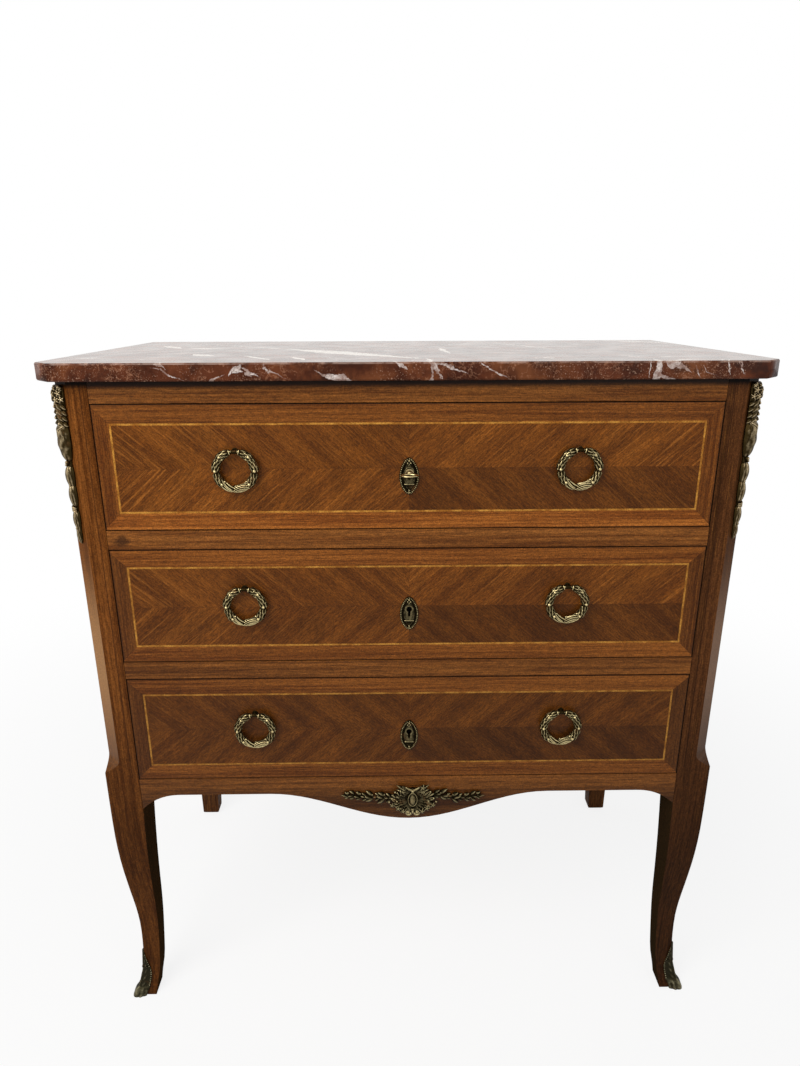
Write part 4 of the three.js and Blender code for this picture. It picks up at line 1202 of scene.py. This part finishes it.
KEY = {"height": 741.5, "stem": 2.3, "tail": -18, "bit_end": -11.3, "bit": 7.8}
BOW = {"width": 20, "length": 15, "start": 16, "bar": 1.75}
KEY_COLLAR = ((4.4, 2.4), (4.8, 3.7), (5.6, 4.0), (6.5, 3.5), (7.2, 4.0), (8.0, 3.6), (8.4, 2.4))
KEY_DOME = (
    (8.2, 2.3), (9.6, 2.1), (10.2, 4.4), (11.0, 4.9), (11.8, 4.6), (12.2, 3.2), (13.6, 3.4), (15.4, 3.0),
    (17.0, 1.8),
)


def key():
    """The key along its own axis, which points out of the drawer; across and up as on the drawer's face."""
    casting = Casting()
    turned(casting, ((KEY["tail"], KEY["stem"]), (4.6, KEY["stem"])), sides=16, bright=0.6)
    turned(casting, KEY_COLLAR, sides=24)
    turned(casting, KEY_DOME, sides=36, bright=1.1)
    reach, depth = BOW["width"] / 2 - BOW["bar"], BOW["length"] / 2 - BOW["bar"]
    middle = Z * (BOW["start"] + BOW["length"] / 2)
    bow = [middle + X * math.sin(turn) * reach + Z * math.cos(turn) * depth for turn in circle(48)]
    tube(casting, bow, BOW["bar"], 0.83, 12, out=Y, closed=True, bright=1.5)
    corners = ((0, -1), (KEY["bit"], -1), (KEY["bit"], 1), (0, 1))
    casting.add([[((x, y, out), 0.5) for x, y in corners] for out in (KEY["tail"], KEY["bit_end"])])
    return casting


# Corner drops on the canted stiles, hung from just under the slab

DROP_RAISE = 3.1

# Buds below the leafy head: top, length, width, height, rows of crossing veins, and shares of the width at
# the two ends
DROP_BUDS = (
    (-40, 40, 21.0, 10.2, 3.0, (0.75, 0.42)), (-86, 23, 13.5, 7.4, 0.0, (0.6, 0.55)),
    (-107.5, 24, 12.5, 6.6, 0.0, (0.65, 0.5)), (-136, 22, 11.0, 5.9, 0.0, (0.6, 0.5)),
    (-156, 19, 7.6, 4.6, 0.0, (0.75, 0.2)),
)
DROP_BEADS = ((-1.6, -81.5, 4.4, 2.3), (2.2, -84.8, 3.8, 1.9), (0, -107.6, 3.8, 1.9), (0, -156.5, 3.2, 1.8))
DROP_FLOWERS = (
    (0, -8.0, 7.4, 4.8), (-5.8, -7.0, 5.2, 4.2), (5.8, -7.4, 5.2, 4.2), (-3.2, -14.0, 6.6, 4.2),
    (3.6, -13.4, 6.6, 4.0), (-7.2, -13.6, 3.6, 3.7), (7.2, -13.0, 3.6, 3.7), (0, -2.6, 5.6, 3.6),
    (-7.0, -2.8, 3.6, 3.0), (7.0, -3.0, 3.6, 3.0),
)

# Heights of the leaf tiers, and of the left ends of the twisted cords between the buds
DROP_TIERS = (-17.5, -23.5, -29.5, -35.5)
DROP_TWISTS = (-133.2, -135.2, -137.2)


def drop_head(casting):
    """Ribbon knot and flowers at the top of a drop."""
    bud(casting, 0.5, 24, 17, 6.4, 3, ends=(0.8, 0.75))
    for hand in (1, -1):
        loop = []
        for share in shares(12):
            up = 2.6 * math.cos(math.pi * share) * (0.5 + 0.6 * share) - 1.6
            loop.append(Vector((hand * (0.5 + 7.5 * arch(share)), up, 3.6)))
        tube(casting, loop, 1.5, 0.9, bright=0.8)
    for across, up, out, size in DROP_FLOWERS:
        place = at(across, up, out) @ Matrix.Rotation(math.radians(across * 7), 4, "Y")
        flower(casting, place, size, 5, 1.7)
    bead(casting, at(0.4, -18.0, 6.6), 2.4, bright=0.8)


def drop_leaves(casting):
    """Leaves in tiers between the flowers and the large bud, and the ribbon that crosses them."""
    bud(casting, -17, 29, 15.5, 7.0, 3, ends=(0.8, 0.85))
    for tier, up in enumerate(DROP_TIERS):
        for hand in (1, -1):
            place = flat_aim(hand * 1.6, up, 6.2, hand * (150 - 4 * tier), 4)
            leaf(casting, place, 10.0, 6.2, 1.7, -0.45, -hand, veins=2, fullness=1.0)
            place = flat_aim(hand * 5.6, up - 1.5, 3.6, hand * 138, 0)
            leaf(casting, place, 8.0, 5.4, 1.7, -0.5, -hand, fullness=1.0)
        bead(casting, at((-1) ** tier * 3.2, up - 4.0, 7.4), 1.6, bright=0.9)
    for hand in (1, -1):
        band = curve(16, lambda share: (hand * (7.6 - 15.2 * share), -41 - 12 * share, 4 + 5.6 * arch(share)))
        tube(casting, band, 1.1, 0.6, bright=0.75)
        scroll(casting, (hand * 6.4, -42.0, 4.4), 2.6, 90, 1.2, 1.0, hand, 1.2)


def drop_bud(casting, top, length, width, height, vees, ends):
    """A bud with three petals over it."""
    bud(casting, top, length, width, height, 5, vees, ends)
    for hand in (1, -1):
        place = flat_aim(hand * width * 0.18, top - 1, height * 0.5, 180 - hand * 8, 10)
        leaf(casting, place, length * 0.72, width * 0.4, height * 0.16, -0.5, fullness=0.9)
    place = flat_aim(0, top - 0.5, height * 0.6, 180, 12)
    leaf(casting, place, length * 0.85, width * 0.38, height * 0.18, -0.5)


def drop_mount():
    """Own axes: across, up with zero at the top of the drop, out of the canted face."""
    casting = Casting()
    bar = curve(40, lambda share: (0, -2 - 168 * share, 0.6))
    tube(casting, bar, lambda share: 4.4 - 2.2 * share, 0.6, 8, bright=0.3)
    drop_head(casting)
    drop_leaves(casting)
    for row in DROP_BUDS:
        drop_bud(casting, *row)
    for across, up, out, size in DROP_BEADS:
        bead(casting, at(across, up, out), size, 1.1, bright=0.8)
    for low in DROP_TWISTS:
        twist = curve(6, lambda share: (-3.8 + 7.6 * share, low + 2.4 * share, 2.6 + 2.4 * arch(share)))
        tube(casting, twist, 1.05, bright=0.8)
    return casting


# Spray on the apron

SPRAY_SEED = 11
SPRAY_RAISE = 1.5

# Garland at each side: where its stem starts, how far out its leaves start and end, its leaf pairs, and on
# the left and right its height at its start and end and how far it rises between them
GARLAND = {"stem": 18, "start": 27, "end": 85, "pairs": 8, "left": (3.0, 7.0, 0.0), "right": (7.5, 5.0, -3.0)}

# Leaves of the shell on one side: degrees from the top, length and width
SHELL_LEAVES = (
    (44, 9, 6.0), (58, 13, 6.6), (72, 16, 6.8), (86, 17, 7.0), (100, 15, 6.6), (114, 13, 6.4), (130, 11, 6.0),
    (148, 8, 5.4),
)
SHELL_FLOWERS = ((18.0, -10.5, 4.6), (25.5, -6.0, 3.8), (12.0, -15.2, 3.8))
SHELL_BERRIES = ((29.5, -2.0, 1.7), (22.0, 12.5, 1.8), (26.0, 3.0, 1.8), (17.5, 8.0, 1.6), (20.0, -1.5, 1.7))

# The boss in the middle: half width and half height of its cabochon and rim, and the dish round it, as half
# width, half height, how far out and how clear of the hollows
CABOCHON, BOSS_RIM = (4.6, 8.2), (5.6, 9.4)
DISH = (
    (5.6, 9.4, 0, 0), (5.6, 9.4, 2.6, 0.3), (8.5, 11.5, 1.6, 0.42), (12.5, 14.0, 2.4, 0.46),
    (15.5, 15.6, 4.2, 0.55), (16.6, 16.4, 4.0, 0.5), (16.8, 16.6, 1.5, 0), (16.4, 16.4, 0, 0),
)


def sprig(casting, side):
    """A garland of overlapping leaves that runs outward from the shell in three swells."""
    hand = HANDS[side]
    draw = random.Random(SPRAY_SEED + hand)
    first, last, dip = GARLAND[side]
    root, start, end = GARLAND["stem"], GARLAND["start"], GARLAND["end"]

    def rise(share):
        return first + (last - first) * share + dip * arch(share)

    stem = curve(20, lambda share: (hand * (root + (end - root) * share), rise(share), 1.8))
    tube(casting, stem, lambda share: 2.4 - 1.2 * share, 0.8, bright=0.3)
    for i, share in enumerate(shares(GARLAND["pairs"] - 1)):
        reach = start + (end - 5 - start) * share
        up = rise(share) + 0.6 * math.sin(9 * share)
        size = (1.08 - 0.2 * share) * (0.84 + 0.2 * math.cos(TURN * 3 * (share - 0.12)))
        for turn, spread in ((34, 1.9), (-34, -1.9)):
            turn += draw.uniform(-9, 9)
            place = flat_aim(hand * reach, up + spread, 1.6, hand * (90 - turn), draw.uniform(2, 14))
            long = 10.6 * size * draw.uniform(0.85, 1.12)
            leaf(casting, place, long, 6.6 * size, 2.3, -0.3, hand * spread * 0.3, fullness=0.95, crease=0.4)
        turn = hand * (90 + draw.uniform(-16, 16))
        place = flat_aim(hand * (reach + 2), up + 0.8 * (-1) ** i, 3.0, turn, 8)
        leaf(casting, place, 9.6 * size, 4.8 * size, 1.9, -0.3, fullness=0.95, crease=0.4)
        if i % 2:
            bead(casting, at(hand * (reach + 1), up + 3.8, 2.8), 1.4, bright=0.8)
            bead(casting, at(hand * (reach + 3), up - 3.8, 2.6), 1.3, bright=0.8)
    leaf(casting, flat_aim(hand * (end - 4), last, 1.6, hand * 90, 4), 9.5, 4.2, 1.7)


def spray_boss(casting):
    """Oval cabochon in a rim, set in a dark fluted dish with a scalloped edge."""
    rows = []
    for share in shares(8):
        out = math.sin(math.pi / 2 * share)
        width, height = (size * max(0.02, math.cos(math.pi / 2 * share)) for size in CABOCHON)
        rows.append([(oval(turn, width, height, 1.8 + 5.2 * out), 0.2 + 0.55 * out) for turn in circle(32)])
    casting.add(rows, backward=True)
    rim = [oval(turn, *BOSS_RIM, 3.0) for turn in circle(40)]
    tube(casting, rim, 0.9, 1.2, 8, closed=True, bright=0.75)
    rows = []
    for width, height, out, relief in DISH:
        row = []
        for turn in circle(120):
            flute = math.cos(24 * turn)
            grow = 1 + 0.03 * flute * (width > 12)
            point = oval(turn, width * grow, height * grow, out + 0.1 * flute * (out > 1))
            row.append((point, relief * (1 + 0.08 * flute)))
        rows.append(row)
    casting.add(rows + rows[:1], capped=False)


def spray_knot(casting):
    """Knot over the cabochon, with a flower at its right and a scroll at its left."""
    for hand in (1, -1):
        ribbon = curve(8, lambda share: (hand * 9.0 * share, 14.6 + 5.2 * share ** 0.8, 4.8 + arch(share)))
        tube(casting, ribbon, lambda share: 1.9 - 0.8 * share, 0.8, bright=0.9)
        for turn, length in ((64, 17), (84, 15)):
            place = flat_aim(hand * 6, 17 - 0.05 * turn, 3.8, hand * turn, 5)
            leaf(casting, place, length, 6.6, 2.0, -0.2, -hand * 1.5, 3)
    bead(casting, at(0, 14.4, 5.6), 2.3, 0.9)
    flower(casting, at(12.8, 20.0, 4.8), 4.8, 5, 1.8)
    scroll(casting, (-11.2, 18.6, 4.0), 3.0, -20, 1.3, 1.2, -1, 1.2, 0.6)


def spray_shell(casting):
    """Leaves round the dish, with flowers and berries among them, and a pair of scrolls at the foot."""
    draw = random.Random(SPRAY_SEED)
    for hand in (1, -1):
        for turn, length, width in SHELL_LEAVES:
            root = oval(math.radians(turn), hand * 13.5, 13.0, 3.4)
            place = flat_aim(*root, hand * (turn + draw.uniform(-7, 7)), draw.uniform(0, 12))
            long = length * draw.uniform(0.88, 1.1)
            leaf(casting, place, long, width, 2.4, -0.35, hand * 1.2, 3, 1.0, crease=0.6)
        for i in range(9):
            turn = 46 + 12.5 * i
            reach = draw.uniform(17, 23)
            root = oval(math.radians(turn), hand * reach, reach * 0.72, 5.0)
            place = flat_aim(*root, hand * (turn + draw.uniform(-55, 55)), 14)
            leaf(casting, place, draw.uniform(5.5, 8), 3.8, 1.9, -0.5, fullness=0.95, crease=0.4, steps=7)
        for across, up, size in SHELL_FLOWERS:
            flower(casting, at(hand * across, up, 4.6), size, 5, 1.9)
        for across, up, size in SHELL_BERRIES:
            bead(casting, at(hand * across, up, 4.2), size)
        scroll(casting, (hand * 5.6, -18.6, 3.6), 3.6, 90 + hand * 100, 1.4, 1.5, hand, 1.2)


def spray():
    casting = Casting()
    back = [Vector((x, 2.5, 0.8)) for x in (-28, -14, 0, 14, 28)]
    tube(casting, back, 4.5, 0.3, bright=0.1)
    spray_boss(casting)
    spray_knot(casting)
    spray_shell(casting)
    for side in HANDS:
        sprig(casting, side)
    for turn in (-40, -14, 14, 40):
        leaf(casting, flat_aim(turn * 0.06, -12.0, 3.4, 180 + turn, 8), 9.0, 4.8, 1.9)
    bead(casting, at(0, -16.4, 5.0), 1.9)
    return casting


# Front feet: a leaf wrapped round the outer corner, with a ribbed toe that stands on the floor

# How far the leg's outer corner is drawn in at the ankle, and its share of that against the share of the way
# up to the knee
ANKLE_PULL = 11.5
LEG_PULLS = ((0, -0.09), (0.04, 0.3), (0.1, 0.74), (0.21, 0.97), (0.31, 1.0))
SABOT = {"height": 69, "corner": 2.2, "collar": 39}
TOE = {"bulge": 5.2, "rise": 11.5, "middle": 2.5, "spread": 13.5, "width": 6.0}

# The leaf's half width against height
SABOT_HALVES = ((0, 13.4), (7, 14.2), (24, 14.0), (31, 12.6), (39, 9.6), (48, 6.0), (58, 3.0), (69, 0.7))


def on_foot(reach, z, stand):
    """A point on the right leg's skin: reach is the way round the corner, less than 0 on the front face."""
    pull = between(LEG_PULLS, z / KNEE) * ANKLE_PULL
    corner_x, front_y = HALF_CASE - pull, CASE_FRONT + pull
    soft = SABOT["corner"]
    if reach < -soft:
        return Vector((corner_x + reach, front_y - stand, z))
    if reach > soft:
        return Vector((corner_x + stand, front_y + reach, z))
    turn = (reach / soft + 1) * math.pi / 4
    centre = Vector((corner_x - soft, front_y + soft, z))
    return centre + Vector((math.sin(turn), -math.cos(turn), 0)) * (soft + stand)


def toe_swell(z):
    """The toe's share of its full bulge at a height."""
    middle, rise = TOE["middle"], TOE["rise"]
    away = (z - middle) / (rise - middle) if z > middle else 0.5 * (middle - z) / middle
    return math.sqrt(max(0.0, 1 - away * away))


def sabot_skin(casting):
    """The leaf and the toe as one skin round the leg's corner."""
    rows = []
    for level in shares(60):
        v = level ** 1.4
        z = 0.2 + (SABOT["height"] - 0.2) * v
        half = between(SABOT_HALVES, z) * (1 + 0.04 * math.cos(v * math.pi * 14))
        toe = toe_swell(z)
        outer, inner = [], []
        for column in shares(56):
            u = -1 + 2 * column
            reach = half * math.copysign(abs(u) ** 1.5, u)
            rib = bell(u / 0.14)
            flute, veins = wave(2 * u), wave(v * 8 - abs(u) * 1.6)
            shape = (0.8 * flute * (1 - v * 0.5) + 0.8 * rib + 0.4 * veins * (1 - rib)) * (1 - toe)
            shape *= clamp((1 - abs(u)) / 0.12) ** 0.6
            spread = math.exp(-((abs(reach) / TOE["spread"]) ** 3))
            toes = wave(reach / TOE["width"])
            bulge = TOE["bulge"] * toe * spread * (0.8 + 0.2 * toes)
            relief = (0.24 + 0.3 * flute * veins + 0.2 * rib) * (1 - toe) + toe * (0.36 + 0.3 * toes * spread)
            outer.append((on_foot(reach, z, FIT + 0.5 + shape + bulge), relief))
            inner.append((on_foot(reach, z, FIT), 0.0))
        rows.append(outer + inner[::-1])
    casting.add(rows)


def sabot():
    """Built in the row frame's millimetres for the right foot."""
    casting = Casting()
    sabot_skin(casting)
    for hand in (1, -1):
        for share in shares(15):
            z = 13 + 46 * share
            spot = on_foot(hand * between(SABOT_HALVES, z) * 0.97, z, FIT + 0.9)
            bead(casting, at(*spot), 1.25 - 0.4 * share, sides=8, rings=5, bright=0.9)
    half = between(SABOT_HALVES, SABOT["collar"]) + 0.4
    band = curve(16, lambda share: on_foot(half * (2 * share - 1), SABOT["collar"], FIT + 1.3))
    tube(casting, band, 0.8, out=Z, bright=0.35)
    return casting


# Putting the brass in place


def mount(casting, replaced, place, body, material, flip=False):
    """Makes a casting a piece that rides on a body and stands for one of the CAD's nodes."""
    piece = casting.make(f"{replaced}_cast", place, flip)
    piece.data.materials.append(material)
    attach(piece, body)
    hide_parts(replaced)


def node_middle(node):
    low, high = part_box(node)
    return (low + high) / (2 * MM)


def joint_place(name):
    return Vector(next(joint["pos_m"] for joint in frame["joints"] if joint["name"] == name)) / MM


def add_drawer_mounts(level, metal, dark_metal):
    body, plate = f"drawer_{level}", f"keyhole_plate_{level}"
    mount(keyhole_plate(), plate, front_seat(0, CASE_FRONT - FIT, node_middle(plate).z), body, dark_metal)
    for hand in HANDS:
        ring = f"ring_{level}_{hand}"
        hinge = joint_place(f"{ring}_swing")
        place = front_seat(hinge.x, CASE_FRONT, hinge.z - RING["radius"])
        mount(wreath(), ring, place, ring, metal)
        mount(ring_stud(), f"ring_stud_{level}_{hand}", place, body, metal)


def add_case_mounts(metal, dark_metal, foot_metal):
    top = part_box("corner_mount_right")[1].z / MM + DROP_RAISE
    origin = (HALF_CASE - CANT / 2 + FIT * 0.7, CASE_FRONT + CANT / 2 - FIT * 0.7, top)
    place = seat(origin, (X + Y).normalized(), Z, (X - Y).normalized())
    for hand in HANDS:
        flip = hand == "left"
        mount(drop_mount(), f"corner_mount_{hand}", place, "case", metal, flip)
        mount(sabot(), f"sabot_{hand}", Matrix.Scale(MM, 4), "case", foot_metal, flip)
    middle = node_middle("apron_mount")
    place = front_seat(middle.x, CASE_FRONT - FIT, middle.z + SPRAY_RAISE)
    mount(spray(), "apron_mount", place, "case", dark_metal)


# Materials of the carried-over pieces

# Shades under the slab and at the apron's foot: height of the dark end, where it starts, how light the end is
RAIL_SHADE = (836.2, 828.0, 0.02)
APRON_SHADE = (308, 356, 0.4)

# How light each quarter of a drawer's field is, its bands above, below and at the two ends, and its pale line
# Partly the veneer's own tone, partly painted shade that darkens the lower drawers
FRONT_TONES = {
    1: {"field": (0.89, 0.98, 0.99, 0.7), "bands": (0.88, 1.54, 0.96, 0.9), "line": 0.76},
    2: {"field": (0.85, 0.96, 0.83, 0.6), "bands": (1.06, 0.98, 0.58, 0.6), "line": 0.66},
    3: {"field": (0.59, 0.65, 0.62, 0.47), "bands": (0.85, 0.84, 0.47, 0.35), "line": 0.54},
}


def dress(material, *nodes):
    for node in nodes:
        for slot in frame["nodes"][node].material_slots:
            slot.material = material


def dress_case():
    rail_wood = veneer("veneer_rails", "x", (88, 46, 12), (132, 80, 33), knot=True, shade=RAIL_SHADE)
    apron_wood = veneer("veneer_apron", "x", (79, 42, 11), (121, 72, 28), shade=APRON_SHADE)
    rear_wood = veneer("veneer_posts", "z", (58, 31, 12), (90, 54, 24), gloss=0.07)
    side = veneer("veneer_sides", "z", (82, 42, 13), (132, 78, 32), 0.4)
    # The right leg is a darker copy of the left, as painted shade; each third colour is its cant's painted
    # sheen
    stiles = {
        "left": leg_veneer("veneer_left_leg", -1, (84, 44, 12), (122, 71, 28), (158, 114, 68), 0.46),
        "right": leg_veneer("veneer_right_leg", 1, (57, 31, 11), (89, 52, 25), (138, 104, 78), 0.42),
    }
    carcass = plain_wood("carcass_wood", "z", (94, 60, 34), (150, 107, 68))
    runner = plain_wood("runner_wood", "y", (110, 76, 42), (170, 128, 80))
    dress(rail_wood, "top_rail", "rail_1_2")
    dress(apron_wood, "rail_2_3", "front_apron")
    dress(marble("red_marble"), "marble_top")
    dress(carcass, "back_panel")
    for hand in HANDS:
        dress(stiles[hand], f"front_leg_{hand}")
        dress(rear_wood, f"rear_post_{hand}")
        dress(side, f"side_panel_{hand}")
        dress(runner, *(f"runner_{level}_{hand}" for level in LEVELS))


def dress_drawers(old_iron, plain_brass):
    lining_y = plain_wood("drawer_lining_sides", "y", (120, 84, 46), (186, 142, 90))
    lining_x = plain_wood("drawer_lining_back", "x", (120, 84, 46), (186, 142, 90))
    for level in LEVELS:
        drawer = f"drawer_{level}"
        dress(inlaid_veneer(f"inlay_{drawer}", level, FRONT_TONES[level]), f"{drawer}_front")
        dress(lining_x, f"{drawer}_back", f"{drawer}_bottom")
        dress(lining_y, *(f"{drawer}_side_{hand}" for hand in HANDS))
        dress(old_iron, f"lock_{level}")
        dress(plain_brass, f"lock_bolt_{level}")


def main():
    bpy.context.scene.view_settings.view_transform = "Standard"
    add_camera()
    add_world()
    for lamp in LAMPS:
        add_lamp(*lamp)
    add_floor()
    metal = brass("gilt_brass")
    aged_metal = brass("aged_brass", (54, 43, 22), (204, 182, 142))
    dark_metal = brass("dark_brass", (26, 21, 11), (160, 146, 106))
    foot_metal = brass("foot_brass", (42, 39, 27), (150, 142, 112))
    dress_case()
    dress_drawers(iron("old_iron"), brass("plain_brass", relief=False))
    soften_nodes()
    for level in LEVELS:
        add_drawer_mounts(level, metal, dark_metal)
    add_case_mounts(aged_metal, dark_metal, foot_metal)
    mount(key(), "key", front_seat(0, CASE_FRONT, KEY["height"]), "key", metal)


main()
